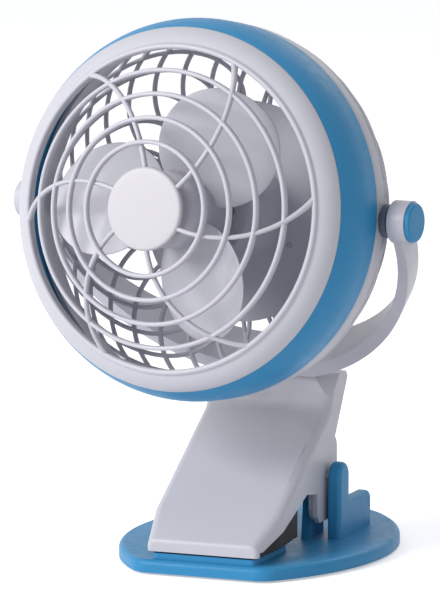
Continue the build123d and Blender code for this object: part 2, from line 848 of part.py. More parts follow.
with BuildPart() as yoke:
    # the half-round band, thicker at the foot than at its ends
    with BuildSketch(yoke_plane):
        with BuildLine():
            outer = yoke_inner_radius + yoke_arm
            ThreePointArc((outer, 0), (0, -foot_reach), (-outer, 0))
            Line((-outer, 0), (-yoke_inner_radius, 0))
            ThreePointArc((-yoke_inner_radius, 0), (0, -yoke_inner_radius), (yoke_inner_radius, 0))
            Line((yoke_inner_radius, 0), (outer, 0))
        make_face()
    extrude(amount=yoke_foot_width, both=True)
    with BuildSketch(yoke_side):
        with BuildLine():
            Polyline(
                (boss_radius, yoke_arm_width / 2),
                (-yoke_inner_radius * 0.55, yoke_arm_width / 2),
                (-foot_reach - 1, yoke_foot_width / 2),
                (-foot_reach - 1, -yoke_foot_width / 2),
                (-yoke_inner_radius * 0.55, -yoke_arm_width / 2),
                (boss_radius, -yoke_arm_width / 2),
                close=True,
            )
        make_face()
    extrude(amount=2 * yoke_inner_radius, both=True, mode=Mode.INTERSECT)
    # neck that stands the band on its foot
    with BuildSketch(swivel_side):
        with BuildLine():
            inside = foot_reach - yoke_foot_thickness * 0.45
            Polyline(
                (-flange_half_depth, 0),
                (flange_half_depth, 0),
                (flange_half_depth, flange_thickness),
                yoke_spot(inside, -yoke_foot_width / 2),
                yoke_spot(inside, yoke_foot_width / 2),
                close=True,
            )
        make_face()
    extrude(amount=flange_half_width * 0.72, both=True)
    split(bisect_by=swivel_plane, keep=Keep.TOP)
    with BuildSketch(swivel_plane):
        RectangleRounded(2 * flange_half_width, 2 * flange_half_depth, flange_half_depth - 0.5)
    extrude(amount=flange_thickness)
    with BuildSketch(swivel_plane):
        Circle(spigot_radius)
    extrude(amount=-seat_wall - fit_gap)
    # hole and seat for the swivel bolt
    with BuildSketch(swivel_plane.offset(-seat_wall - 1)):
        Circle(bolt_radius + bolt_hole_clearance)
    extrude(amount=4 * yoke_foot_width, mode=Mode.SUBTRACT)
    with BuildSketch(swivel_plane.offset(bolt_seat)):
        Circle(bolt_head_radius + 2 * bolt_hole_clearance)
    extrude(amount=4 * yoke_foot_width, mode=Mode.SUBTRACT)
    # round ends, each bored for a tilt screw and recessed for its cap
    for side in (-1, 1):
        with BuildSketch(pivot_end(side, yoke_inner_radius - 3)):
            Circle(tilt_washer_radius + 3 * joint_gap)
        extrude(amount=3, mode=Mode.SUBTRACT)
        with BuildSketch(pivot_end(side, yoke_inner_radius)):
            Circle(boss_radius)
        extrude(amount=boss_out - yoke_inner_radius)
        with BuildSketch(pivot_end(side, boss_out)):
            Circle(cap_radius + fit_gap)
        extrude(amount=-cap_sink, mode=Mode.SUBTRACT)
        with BuildSketch(pivot_end(side, boss_out)):
            Circle(tilt_screw_head_radius + 2 * fit_gap)
        extrude(amount=-cap_sink - tilt_screw_head_height - fit_gap, mode=Mode.SUBTRACT)
        with BuildSketch(pivot_end(side, boss_out)):
            Circle(tilt_screw_radius + fit_gap)
        extrude(amount=yoke_inner_radius - boss_out, mode=Mode.SUBTRACT)
save(yoke, "yoke")

with BuildPart() as swivel_bolt:
    with BuildSketch(swivel_plane.offset(bolt_seat)):
        Circle(bolt_head_radius)
    extrude(amount=bolt_head_height)
    chamfer(swivel_bolt.edges().group_by(Axis.Z)[-1], 0.5)
    with BuildSketch(swivel_plane.offset(bolt_seat + bolt_head_height)):
        RegularPolygon(1.6, 6)
    extrude(amount=-bolt_head_height / 2, mode=Mode.SUBTRACT)
    with BuildSketch(swivel_plane.offset(bolt_seat)):
        Circle(bolt_radius)
    extrude(amount=-bolt_seat - seat_wall - washer_thickness - nut_height - 1)
save(swivel_bolt, "swivel_bolt")

with BuildPart() as swivel_washer:
    with BuildSketch(swivel_plane.offset(-seat_wall - fit_gap)):
        Circle(washer_radius)
        Circle(bolt_radius + bolt_hole_clearance, mode=Mode.SUBTRACT)
    extrude(amount=-washer_thickness)
save(swivel_washer, "swivel_washer")

with BuildPart() as swivel_nut:
    with BuildSketch(swivel_plane.offset(-seat_wall - fit_gap - washer_thickness)):
        RegularPolygon(nut_across / 2, 6, major_radius=False)
        Circle(bolt_radius, mode=Mode.SUBTRACT)
    extrude(amount=-nut_height)
save(swivel_nut, "swivel_nut")

for side, name in ((-1, "left"), (1, "right")):
    with BuildPart() as pivot_cap:
        with BuildSketch(pivot_end(side, boss_out - cap_sink)):
            Circle(cap_radius)
        extrude(amount=cap_out - boss_out + cap_sink)
        outer_rim = pivot_cap.edges().sort_by_distance(pivot)[-1]
        fillet(outer_rim, 1.2)
    save(pivot_cap, f"pivot_cap_{name}")

with BuildPart() as tilt_screws:
    for side in (-1, 1):
        screw_seat = boss_out - cap_sink - tilt_screw_head_height - fit_gap
        with BuildSketch(pivot_end(side, screw_seat)):
            Circle(tilt_screw_head_radius)
        extrude(amount=tilt_screw_head_height)
        with BuildSketch(pivot_end(side, screw_seat)):
            Circle(tilt_screw_radius)
        extrude(amount=tilt_boss_inner + 1 - screw_seat)
        with BuildSketch(pivot_end(side, screw_seat + tilt_screw_head_height)):
            Rectangle(2.6, 0.7)
            Rectangle(0.7, 2.6)
        extrude(amount=-tilt_screw_head_height / 2, mode=Mode.SUBTRACT)
save(tilt_screws, "tilt_screws")

# ------------------------------------------------------------------ head shells
ledge_depth = seam_depth - skirt_length - joint_gap
skirt_outer = seam_radius - 0.6
skirt_inner = skirt_outer - skirt_wall
spigot_outer = shell_radius - head_wall + 0.1

with BuildPart() as housing_ring:
    with BuildSketch(head_section):
        with BuildLine():
            ThreePointArc(
                (seam_radius, seam_depth),
                (band_radius - 1.1, (seam_depth + band_depth) / 2 + 0.5),
                (band_radius, band_depth),
            )
            Polyline(
                (band_radius, band_depth),
                (band_radius - 0.3, shell_depth),
                (spigot_outer + joint_gap, shell_depth),
                (band_radius - head_wall, band_depth),
                (band_radius - head_wall - 1.0, ledge_depth - 2),
                (skirt_inner, ledge_depth - 2),
                (skirt_inner, ledge_depth),
                (skirt_outer + joint_gap, ledge_depth),
                (skirt_outer + joint_gap, seam_depth),
                (seam_radius, seam_depth),
            )
        make_face()
    revolve(axis=head_axis)
save(housing_ring, "housing_ring")


def rim_point(radius, depth, inset):
    """Point of the bezel's section, moved inwards along the bezel's normal."""
    slope = atan2(seam_radius - bezel_inner, bezel_depth - seam_depth)
    return (radius - inset * cos(slope), depth - inset * sin(slope))


def cage_depth(radius):
    """Depth of the cage's dome, which falls away towards the bezel."""
    fall = (radius - cage_flat_radius) / (bezel_inner - cage_flat_radius)
    return disc_depth - (disc_depth - bezel_depth) * fall**2


ring_radii = [bezel_inner - ring_margin - ring * ring_spacing for ring in range(ring_count)]

with BuildPart() as front_grille:
    # bezel with the skirt that plugs into the housing ring
    bezel_mid = (
        (seam_radius + bezel_inner) / 2 + 1.0,
        (seam_depth + bezel_depth) / 2 + 1.3,
    )
    with BuildSketch(head_section):
        with BuildLine():
            ThreePointArc((seam_radius, seam_depth), bezel_mid, (bezel_inner, bezel_depth))
            Line((bezel_inner, bezel_depth), rim_point(bezel_inner, bezel_depth, head_wall))
            ThreePointArc(
                rim_point(bezel_inner, bezel_depth, head_wall),
                rim_point(*bezel_mid, head_wall),
                (skirt_inner, seam_depth - 0.5),
            )
            Polyline(
                (skirt_inner, seam_depth - 0.5),
                (skirt_inner, seam_depth - skirt_length),
                (skirt_outer, seam_depth - skirt_length),
                (skirt_outer, seam_depth),
                (seam_radius, seam_depth),
            )
        make_face()
    revolve(axis=head_axis)
    # ring-shaped bars
    for radius in ring_radii:
        with BuildSketch(head_section):
            with Locations((radius, cage_depth(radius))):
                SlotOverall(ring_height, ring_thickness, rotation=90)
        revolve(axis=head_axis)
    # plain disc in the middle, with a turned-back rim
    with BuildSketch(head_plane.offset(disc_depth)):
        Circle(disc_radius)
    extrude(amount=-disc_thickness)
    # swept spokes over the dome
    spoke_stops = [
        (disc_radius - spoke_radius, spoke_hub_angle, disc_depth - spoke_radius),
        (ring_radii[1], spoke_mid_angle, cage_depth(ring_radii[1])),
        (bezel_inner + spoke_radius, spoke_rim_angle, bezel_depth - spoke_radius),
    ]
    spoke_points = [
        head_plane.from_local_coords(Vector(*polar(radius, angle), depth))
        for radius, angle, depth in spoke_stops
    ]
    spoke_path = Edge.make_three_point_arc(*spoke_points)
    with BuildSketch(Plane(origin=spoke_points[0], z_dir=spoke_path.tangent_at(0))):
        Circle(spoke_radius)
    spoke = sweep(path=spoke_path, mode=Mode.PRIVATE)
    add([spoke.rotate(head_axis, turn * 360 / spoke_count) for turn in range(spoke_count)])
    # hollow behind the disc
    with BuildSketch(head_plane.offset(disc_depth - disc_thickness)):
        Circle(disc_radius - disc_rim)
    extrude(amount=disc_thickness / 2, mode=Mode.SUBTRACT)
save(front_grille, "front_grille")


def lattice_cell(row, turn):
    """Corners of one diamond opening, drawn in by half a rib on each side."""
    middle = shell_flat_radius + lattice_margin + (row + 1) * lattice_step
    half = 180 / lattice_count
    angle = 2 * half * turn + half * (row % 2)
    wide = middle * radians(half)
    side = hypot(wide, lattice_step)
    reach = lattice_step - lattice_rib / 2 * side / wide
    spread = half * (1 - lattice_rib / 2 * side / lattice_step / wide)
    return [
        polar(middle - reach, angle),
        polar(middle, angle + spread),
        polar(middle + reach, angle),
        polar(middle, angle - spread),
    ]


with BuildPart() as rear_grille:
    with BuildSketch(head_section):
        with BuildLine():
            Polyline(
                (tub_radius - tub_wall, shell_back),
                (shell_flat_radius, shell_back),
            )
            dome_mid = (
                shell_flat_radius + shell_dome * 0.8,
                shell_back + (shell_side_end - shell_back) * 0.33,
            )
            ThreePointArc(
                (shell_flat_radius, shell_back), dome_mid, (shell_radius, shell_side_end)
            )
            Polyline(
                (shell_radius, shell_side_end),
                (shell_radius, shell_depth),
                (spigot_outer, shell_depth),
                (spigot_outer, shell_depth + skirt_length),
                (spigot_outer - skirt_wall, shell_depth + skirt_length),
                (spigot_outer - skirt_wall, shell_depth - 1),
                (shell_radius - head_wall, shell_depth - 3),
                (shell_radius - head_wall, shell_side_end),
            )
            ThreePointArc(
                (shell_radius - head_wall, shell_side_end),
                (dome_mid[0] - head_wall * 0.64, dome_mid[1] + head_wall * 0.77),
                (shell_flat_radius, shell_back + head_wall),
            )
            Polyline(
                (shell_flat_radius, shell_back + head_wall),
                (tub_radius, shell_back + head_wall),
                (tub_radius, motor_front + tub_wall),
                (bush_radius + 1, motor_front + tub_wall),
                (bush_radius + 1, motor_front),
                (tub_radius - tub_wall, motor_front),
                (tub_radius - tub_wall, shell_back),
            )
        make_face()
    revolve(axis=head_axis)
    with BuildSketch(head_plane.offset(cover_back)):
        for row in range(lattice_rows):
            for turn in range(lattice_count):
                with BuildLine():
                    Polyline(*lattice_cell(row, turn), close=True)
                make_face()
    extrude(amount=lattice_stop - cover_back, mode=Mode.SUBTRACT)
    # bosses that the tilt screws bite into
    for side in (-1, 1):
        with BuildSketch(pivot_end(side, tilt_boss_inner)):
            Circle(tilt_boss_radius)
        extrude(amount=tilt_boss_out - tilt_boss_inner)
        with BuildSketch(pivot_end(side, tilt_boss_inner)):
            Circle(tilt_screw_radius)
        extrude(amount=tilt_boss_out - tilt_boss_inner, mode=Mode.SUBTRACT)
    # holes for the screws of the motor and of its cover
    with BuildSketch(head_plane.offset(motor_front)):
        with PolarLocations(motor_screw_reach, 2):
            Circle(motor_screw_radius + fit_gap)
    extrude(amount=tub_wall, mode=Mode.SUBTRACT)
    with BuildSketch(head_plane.offset(shell_back)):
        with PolarLocations(head_screw_reach, head_screw_count, start_angle=90):
            Circle(screw_radius)
    extrude(amount=head_wall, mode=Mode.SUBTRACT)
save(rear_grille, "rear_grille")

with BuildPart() as tilt_washers:
    for side in (-1, 1):
        with BuildSketch(pivot_end(side, tilt_boss_out)):
            Circle(tilt_washer_radius)
            Circle(tilt_screw_radius + fit_gap, mode=Mode.SUBTRACT)
        extrude(amount=tilt_washer_thickness)
save(tilt_washers, "tilt_washers")

# ----------------------------------------------------------------------- motor
with BuildPart() as motor_can:
    with BuildSketch(head_section):
        with BuildLine():
            Polyline(
                (bush_radius, motor_front),
                (motor_radius, motor_front),
                (motor_radius, motor_back),
                (motor_radius - can_wall, motor_back),
                (motor_radius - can_wall, motor_front - can_wall),
                (bush_radius, motor_front - can_wall),
                close=True,
            )
        make_face()
    revolve(axis=head_axis)
    with BuildSketch(head_plane.offset(motor_front)):
        with PolarLocations(motor_screw_reach, 2):
            Circle(motor_screw_radius)
    extrude(amount=-can_wall, mode=Mode.SUBTRACT)
save(motor_can, "motor_can")

magnet_outer = motor_radius - can_wall
with BuildPart() as motor_magnets:
    with BuildSketch(head_plane.offset(motor_back + 4)):
        Circle(magnet_outer)
        Circle(magnet_outer - magnet_thickness, mode=Mode.SUBTRACT)
        Rectangle(magnet_outer, 3 * magnet_outer, mode=Mode.SUBTRACT)
    extrude(amount=motor_front - motor_back - 4 - 2 * can_wall)
save(motor_magnets, "motor_magnets")

with BuildPart() as motor_end_cap:
    with BuildSketch(head_plane.offset(motor_back)):
        Circle(motor_radius)
        Circle(bush_radius, mode=Mode.SUBTRACT)
    extrude(amount=-end_cap_thickness)
    # two brush holders that reach in beside the commutator
    with BuildSketch(head_plane.offset(motor_back)):
        with Locations((0, commutator_radius + 3.4), (0, -commutator_radius - 3.4)):
            Rectangle(4, 5)
    extrude(amount=3)
save(motor_end_cap, "motor_end_cap")

for name, bush_depth in (
    ("bush_front", motor_front + tub_wall - bush_length),
    ("bush_rear", motor_back - end_cap_thickness),
):
    with BuildPart() as bush:
        with BuildSketch(head_plane.offset(bush_depth)):
            Circle(bush_radius)
            Circle(shaft_radius + running_clearance, mode=Mode.SUBTRACT)
        extrude(amount=bush_length)
    save(bush, name)

with BuildPart() as motor_screws:
    with BuildSketch(head_plane.offset(motor_front + tub_wall)):
        with PolarLocations(motor_screw_reach, 2):
            Circle(motor_screw_head_radius)
    extrude(amount=motor_screw_head_height)
    with BuildSketch(head_plane.offset(motor_front + tub_wall)):
        with PolarLocations(motor_screw_reach, 2):
            Circle(motor_screw_radius)
    extrude(amount=-tub_wall - can_wall)
save(motor_screws, "motor_screws")

armature_back = motor_back + 6.5
armature_front = motor_front - can_wall - 3.5
with BuildPart() as armature:
    with BuildSketch(head_plane.offset(armature_back)):
        Circle(armature_radius * 0.42)
        with PolarLocations(armature_radius * 0.55, 3):
            Rectangle(armature_radius * 0.7, armature_radius * 0.3)
        with BuildSketch(mode=Mode.PRIVATE) as shoes:
            Circle(armature_radius)
            Circle(armature_radius - 2, mode=Mode.SUBTRACT)
            with PolarLocations(armature_radius, 3, start_angle=60):
                Rectangle(armature_radius * 0.6, 3, mode=Mode.SUBTRACT)
        add(shoes.sketch)
        Circle(shaft_radius, mode=Mode.SUBTRACT)
    extrude(amount=armature_front - armature_back)
save(armature, "armature")

with BuildPart() as commutator:
    with BuildSketch(head_plane.offset(armature_back)):
        Circle(commutator_radius)
        with PolarLocations(commutator_radius, 3, start_angle=30):
            Rectangle(1.2, 0.5, mode=Mode.SUBTRACT)
        Circle(shaft_radius, mode=Mode.SUBTRACT)
    extrude(amount=motor_back - armature_back + 2.6)
save(commutator, "commutator")

with BuildPart() as motor_shaft:
    with BuildSketch(head_plane.offset(motor_back - end_cap_thickness + 0.4)):
        Circle(shaft_radius)
    extrude(amount=shaft_front - motor_back + end_cap_thickness - 0.4)
    chamfer(motor_shaft.edges().filter_by(GeomType.CIRCLE), 0.3)
save(motor_shaft, "motor_shaft")

# -------------------------------------------------------------------- impeller
blade_frame = Plane(
    origin=head_plane.from_local_coords(Vector(0, 0, blade_mid_depth)),
    x_dir=head_plane.y_dir,
    z_dir=head_plane.x_dir,
)
blade_half = blade_radial + blade_side
with BuildPart() as blade:
    # cambered sheet, pitched across the airflow
    with BuildSketch(blade_frame):
        rise = blade_half * tan(radians(blade_pitch))
        with BuildLine():
            low = (-blade_half, -rise)
            high = (blade_half, rise)
            ThreePointArc(low, (0, blade_camber), high)
            Line(high, (high[0], high[1] + blade_thickness))
            ThreePointArc(
                (high[0], high[1] + blade_thickness),
                (0, blade_camber + blade_thickness),
                (low[0], low[1] + blade_thickness),
            )
            Line((low[0], low[1] + blade_thickness), low)
        make_face()
    extrude(amount=blade_tip + 1)
    with BuildSketch(head_plane):
        with Locations((blade_tip - blade_radial, 0)):
            Ellipse(blade_radial, blade_side)
    extrude(amount=2 * blade_mid_depth, mode=Mode.INTERSECT)

with BuildPart() as impeller:
    with BuildSketch(head_section):
        with BuildLine():
            nose = hub_front - hub_round
            Polyline(
                (shaft_radius, hub_front),
                (hub_radius - hub_round, hub_front),
            )
            ThreePointArc(
                (hub_radius - hub_round, hub_front),
                (
                    hub_radius - hub_round * (1 - sin(pi / 4)),
                    nose + hub_round * sin(pi / 4),
                ),
                (hub_radius, nose),
            )
            Polyline(
                (hub_radius, nose),
                (hub_radius, hub_back),
                (hub_radius - hub_wall, hub_back),
                (hub_radius - hub_wall, nose),
                (hub_radius - hub_round, hub_front - hub_wall),
                (sleeve_radius, hub_front - hub_wall),
                (sleeve_radius, hub_back + 4),
                (shaft_radius, hub_back + 4),
                (shaft_radius, hub_front),
            )
        make_face()
    revolve(axis=head_axis)
    with BuildSketch(head_plane.offset(hub_back)):
        Circle(hub_radius)
    core = extrude(amount=hub_front - hub_back, mode=Mode.PRIVATE)
    petal = blade.part - core
    blade_angles = [blade_first_angle + turn * 360 / blade_count for turn in range(blade_count)]
    add([petal.rotate(head_axis, angle) for angle in blade_angles])
save(impeller, "impeller")

with BuildPart() as spinner_nut:
    with BuildSketch(head_plane.offset(hub_front)):
        RegularPolygon(nut_across / 2, 6, major_radius=False)
        Circle(shaft_radius, mode=Mode.SUBTRACT)
    extrude(amount=nut_height)
    chamfer(spinner_nut.faces().sort_by(head_axis)[-1].outer_wire().edges(), 0.4)
save(spinner_nut, "spinner_nut")

# ----------------------------------------------------------------- motor cover
cover_depth = cover_back - shell_back  # negative: the cover stands out backwards
switch_spot = (0, switch_up)
inlet_spot = (0, -inlet_down)
with BuildPart() as motor_cover:
    with BuildSketch(head_section):
        with BuildLine():
            shoulder = cover_radius - cover_round
            bend = cover_round * (1 - sin(pi / 4))
            Line((0, cover_back), (shoulder, cover_back))
            ThreePointArc(
                (shoulder, cover_back),
                (cover_radius - bend, cover_back + bend),
                (cover_radius, cover_back + cover_round),
            )
            Polyline(
                (cover_radius, cover_back + cover_round),
                (cover_radius, shell_back),
                (cover_radius - cover_wall, shell_back),
                (cover_radius - cover_wall, cover_back + cover_round),
                (shoulder, cover_back + cover_wall),
                (0, cover_back + cover_wall),
                (0, cover_back),
            )
        make_face()
    revolve(axis=head_axis)
    # pillars and holes for the three screws
    with BuildSketch(head_plane.offset(cover_back + cover_wall / 2)):
        with PolarLocations(head_screw_reach, head_screw_count, start_angle=90):
            Circle(pillar_radius)
    extrude(amount=shell_back - cover_back - cover_wall / 2)
    with BuildSketch(head_plane.offset(shell_back)):
        with PolarLocations(head_screw_reach, head_screw_count, start_angle=90):
            Circle(screw_radius + fit_gap)
    extrude(amount=cover_depth, mode=Mode.SUBTRACT)
    with BuildSketch(head_plane.offset(cover_back)):
        with PolarLocations(head_screw_reach, head_screw_count, start_angle=90):
            Circle(screw_head_radius + joint_gap)
    extrude(amount=screw_head_height, mode=Mode.SUBTRACT)
    # cooling slots on both sides
    with BuildSketch(head_plane.offset(cover_back)):
        for side in (0, 180):
            for slot in range(-2, 3):
                with Locations(Location((*polar(vent_radius, side + slot * vent_angle), 0))):
                    SlotOverall(vent_length, vent_width, rotation=side + slot * vent_angle)
        with Locations(switch_spot):
            Rectangle(
                2 * (switch_half_width + joint_gap), 2 * (switch_half_height + joint_gap)
            )
        with Locations(inlet_spot):
            Circle(inlet_radius + joint_gap)
    extrude(amount=cover_wall + 0.5, mode=Mode.SUBTRACT)
save(motor_cover, "motor_cover")

with BuildPart() as cover_screws:
    with BuildSketch(head_plane.offset(cover_back + screw_head_height)):
        with PolarLocations(head_screw_reach, head_screw_count, start_angle=90):
            Circle(screw_head_radius)
    extrude(amount=-screw_head_height)
    with BuildSketch(head_plane.offset(cover_back)):
        with PolarLocations(head_screw_reach, head_screw_count, start_angle=90):
            Rectangle(2 * screw_radius, 0.8)
            Rectangle(0.8, 2 * screw_radius)
    extrude(amount=screw_head_height / 2, mode=Mode.SUBTRACT)
    with BuildSketch(head_plane.offset(cover_back + screw_head_height)):
        with PolarLocations(head_screw_reach, head_screw_count, start_angle=90):
            Circle(screw_radius)
    extrude(amount=shell_back + head_wall - cover_back - screw_head_height)
save(cover_screws, "cover_screws")

# ------------------------------------------------------- switch and power inlet
# The switch is drawn in its own side view: (depth forwards, up).
switch_origin = head_plane.from_local_coords(Vector(*switch_spot, cover_back))
switch_side = Plane(
    origin=switch_origin, x_dir=head_plane.z_dir, z_dir=-head_plane.x_dir
)
rocker_axis_point = head_plane.from_local_coords(
    Vector(*switch_spot, cover_back + rocker_axis_depth)
)
rocker_axis = Axis(rocker_axis_point, head_plane.x_dir)
rocker_half_width = switch_half_width - switch_wall - 2 * joint_gap

with BuildPart() as switch_case:
    with BuildSketch(head_plane.offset(cover_back)):
        with Locations(switch_spot):
            Rectangle(
                2 * (switch_half_width + switch_frame), 2 * (switch_half_height + switch_frame)
            )
    extrude(amount=-switch_frame)
    with BuildSketch(head_plane.offset(cover_back)):
        with Locations(switch_spot):
            Rectangle(2 * switch_half_width, 2 * switch_half_height)
    extrude(amount=switch_depth)
    with BuildSketch(head_plane.offset(cover_back - switch_frame)):
        with Locations(switch_spot):
            Rectangle(
                2 * (switch_half_width - switch_wall), 2 * (switch_half_height - switch_wall)
            )
    extrude(amount=switch_depth, mode=Mode.SUBTRACT)
    with BuildSketch(switch_side.offset(-switch_half_width)):
        with Locations((rocker_axis_depth, 0)):
            Circle(rocker_pin + running_clearance)
    extrude(amount=2 * switch_half_width, mode=Mode.SUBTRACT)
save(switch_case, "switch_case")

with BuildPart() as switch_rocker:
    with BuildSketch(switch_side.offset(-rocker_half_width)):
        with BuildLine():
            Polyline(
                (rocker_axis_depth + 1.8, 0),
                (-0.8, -rocker_half_height),
                (-2.6, -rocker_half_height),
                (-1.6, 0),
                (-2.6, rocker_half_height),
                (-0.8, rocker_half_height),
                close=True,
            )
        make_face()
        with Locations((rocker_axis_depth, 0)):
            Circle(1.8)
    extrude(amount=2 * rocker_half_width)
    with BuildSketch(switch_side.offset(-switch_half_width + fit_gap)):
        with Locations((rocker_axis_depth, 0)):
            Circle(rocker_pin)
    extrude(amount=2 * (switch_half_width - fit_gap))
switch_rocker.part = switch_rocker.part.rotate(rocker_axis, rocker_throw)
save(switch_rocker, "switch_rocker")

with BuildPart() as dc_inlet:
    with BuildSketch(head_plane.offset(cover_back)):
        with Locations(inlet_spot):
            Circle(inlet_radius + 1.2)
    extrude(amount=-1)
    with BuildSketch(head_plane.offset(cover_back)):
        with Locations(inlet_spot):
            Circle(inlet_radius)
    extrude(amount=inlet_length)
    with BuildSketch(head_plane.offset(cover_back - 1)):
        with Locations(inlet_spot):
            Circle(inlet_bore)
    extrude(amount=inlet_bore_depth, mode=Mode.SUBTRACT)
    with BuildSketch(head_plane.offset(cover_back)):
        with Locations(inlet_spot):
            Circle(inlet_pin)
    extrude(amount=inlet_length)
save(dc_inlet, "dc_inlet")
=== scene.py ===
"""A clip fan's looks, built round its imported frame. Metres, +Z up, the fan blows towards -Y."""
import json
import math

import bmesh
import bpy
from mathutils import Matrix, Vector


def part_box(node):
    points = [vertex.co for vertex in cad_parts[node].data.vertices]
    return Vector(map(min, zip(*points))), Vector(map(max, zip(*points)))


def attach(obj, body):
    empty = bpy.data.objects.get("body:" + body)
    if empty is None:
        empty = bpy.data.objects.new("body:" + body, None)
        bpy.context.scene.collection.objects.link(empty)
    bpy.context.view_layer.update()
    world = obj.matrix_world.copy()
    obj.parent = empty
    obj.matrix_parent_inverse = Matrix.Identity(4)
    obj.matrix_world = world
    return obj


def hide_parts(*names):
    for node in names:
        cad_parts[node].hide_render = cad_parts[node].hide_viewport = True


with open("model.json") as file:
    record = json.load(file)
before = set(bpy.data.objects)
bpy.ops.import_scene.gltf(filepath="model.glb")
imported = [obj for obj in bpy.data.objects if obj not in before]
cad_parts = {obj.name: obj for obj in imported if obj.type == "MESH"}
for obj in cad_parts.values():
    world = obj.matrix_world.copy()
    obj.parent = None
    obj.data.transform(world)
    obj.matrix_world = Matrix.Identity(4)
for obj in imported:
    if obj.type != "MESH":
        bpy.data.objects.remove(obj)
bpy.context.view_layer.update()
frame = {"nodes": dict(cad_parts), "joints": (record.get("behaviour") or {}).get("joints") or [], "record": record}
nodes = frame["nodes"]
joints = {joint["name"]: joint for joint in frame["joints"]}
scene = bpy.context.scene
scene.view_settings.view_transform = "Standard"
MM = 0.001

# -------------------------------------------------- sizes of the fan, millimetres
# Head: depths run forward from the tilt axis, radii out from the fan's axis
SEAM_RADIUS = 75.0
SEAM_DEPTH = 33.0
SEAM_LINE = 0.2  # the bezel's face starts this far in front of the seam
BEZEL_INNER = 65.6
BEZEL_DEPTH = 40.4
BEZEL_WALL = 2.2
BEZEL_CREST = (1.0, 1.3)  # out and forward from the middle between the face's two edges
BEZEL_INSET = (0.7, 0.9)  # from the crest in and back to the inner face, shares of the wall
BEZEL_EDGE = 1.0  # how much thicker than the wall the bezel's inner edge is
BEZEL_HEEL = (0.4, 0.2)  # out from the lip's middle and back, to where the inner face starts
SKIRT_OUTER = 74.4
SKIRT_WALL = 1.8
SKIRT_LENGTH = 6.0
SKIRT_STEP = 0.1  # the skirt starts this far behind the seam
SKIRT_ROOT = 0.5  # the inner face meets the skirt this far behind the seam
LIP_ROUND = 1.15  # half the width of the raised lip inside the bezel
LIP_SINK = 0.2  # the lip's middle lies this far behind the bezel's edge
LIP_GROOVE = 0.5  # width of the groove outside the lip
LIP_GROOVE_OUT = 0.1  # its floor lies this far outside the lip
LIP_GROOVE_DEPTH = 0.25
BAR_WIDTH = 1.9
BAR_HEIGHT = 3.3  # front to back
RING_COUNT = 4
RING_SPACING = 9.85
RING_MARGIN = 8.85  # from the bezel in to the outermost ring
RING_RADII = [BEZEL_INNER - RING_MARGIN - ring * RING_SPACING for ring in range(RING_COUNT)]
DISC_RADIUS = 17.1
DISC_DEPTH = 62.0
DISC_EDGE = 3.0  # height of the disc's rim
DISC_WALL = 2.2  # thickness of the rim's wall
DISC_DRAFT = 0.2  # how much thinner that wall is at its back
DISC_CROWN = 0.25  # how far the face falls from its middle to its edge
DISC_CROWN_SHARES = (0.15, 0.3, 0.45, 0.6, 0.75, 0.86)  # of the radius, between both
DISC_ROUND = (1.3, 1.6)  # reach of the rounding, in from the rim and back from the face
DISC_ROUND_MID = (0.36, 0.68)  # its middle, likewise
DISC_CHAMFER = 0.4
CAGE_FLAT_RADIUS = 13.0  # the cage's dome falls away outside this radius
SPOKE_COUNT = 6
SPOKE_HUB_ANGLE = -26.0
SPOKE_MID_ANGLE = -9.0
SPOKE_RIM_ANGLE = 7.0
SPOKE_ROOT_IN = 1.2  # a spoke starts this far inside the disc's edge
SPOKE_ROOT_DROP = 2.3  # and this far behind its face
SPOKE_END_IN = 1.0  # it ends this far into the bezel's lip
SPOKE_END_DROP = 1.2
SPOKE_HEIGHT_SHARE = 0.78  # of a ring's height
SPOKE_FLARE = 0.35  # how much wider it gets at the bezel
SPOKE_FLARE_POWER = 8  # the higher, the later it widens

SHELL_RADIUS = 78.6
SHELL_DEPTH = 8.2
SHELL_SIDE_END = 4.0
SHELL_BACK = -27.0
SHELL_FLAT_RADIUS = 45.0
SHELL_EDGE = 0.3  # chamfer at the housing ring
DOME_MID = (71.9, -16.8)  # radius and depth of a place on the dome
HEAD_WALL = 2.2
SPIGOT_OUTER = SHELL_RADIUS - HEAD_WALL + 0.1
SPIGOT_ROOT = 1  # the spigot's inside ends this far behind the shell's front
SPIGOT_SLOPE_END = 3  # and slopes to the shell's inside down to here
TUB_RADIUS = 20.5
TUB_WALL = 2.2
TUB_EDGE = 0.8  # chamfer at the front of the tub
TUB_FOOT = 1.0  # chamfer where the tub meets the flat back
MOTOR_FRONT = 6.8
BUSH_RADIUS = 5.0
NET_COUNT = 24  # bars that wind each way over the dome
NET_TURN = 58.0  # degrees that a bar winds over the dome's arc, ever faster outwards
NET_CROSSING = 132.5  # angle of one crossing, and its share of the arc
NET_CROSSING_SHARE = 0.4
NET_START = 0.03  # shares of the dome's arc at the net's two edges
NET_END = 0.93
NET_OVERLAP = 0.01  # share of the arc by which a bar enters the shell at each end
NET_RIB = 2.1
NET_THICKNESS = 1.9

# Ends of the tilt axis: distances along it from the fan's axis
TILT_BOSS_RADIUS = 6.4
TILT_BOSS_INNER = 72.0
TILT_BOSS_OUT = 81.6
TILT_BOSS_EDGE = 0.5
TILT_WASHER_RADIUS = 5.6
TILT_WASHER_HOLE = 2.2
YOKE_INNER = 83.6
WASHER_GAP = 0.03  # between the washer and what it touches
WASHER_EDGE = (0.3, 0.4)  # its chamfer, in from the radius and back from the yoke
WASHER_SKIRT_RADIUS = 6.9
WASHER_SKIRT_END = 79.0
WASHER_SKIRT_TOP = 0.6  # how far the skirt's flange stands out from the boss's end
WASHER_SKIRT_EDGE = 0.4

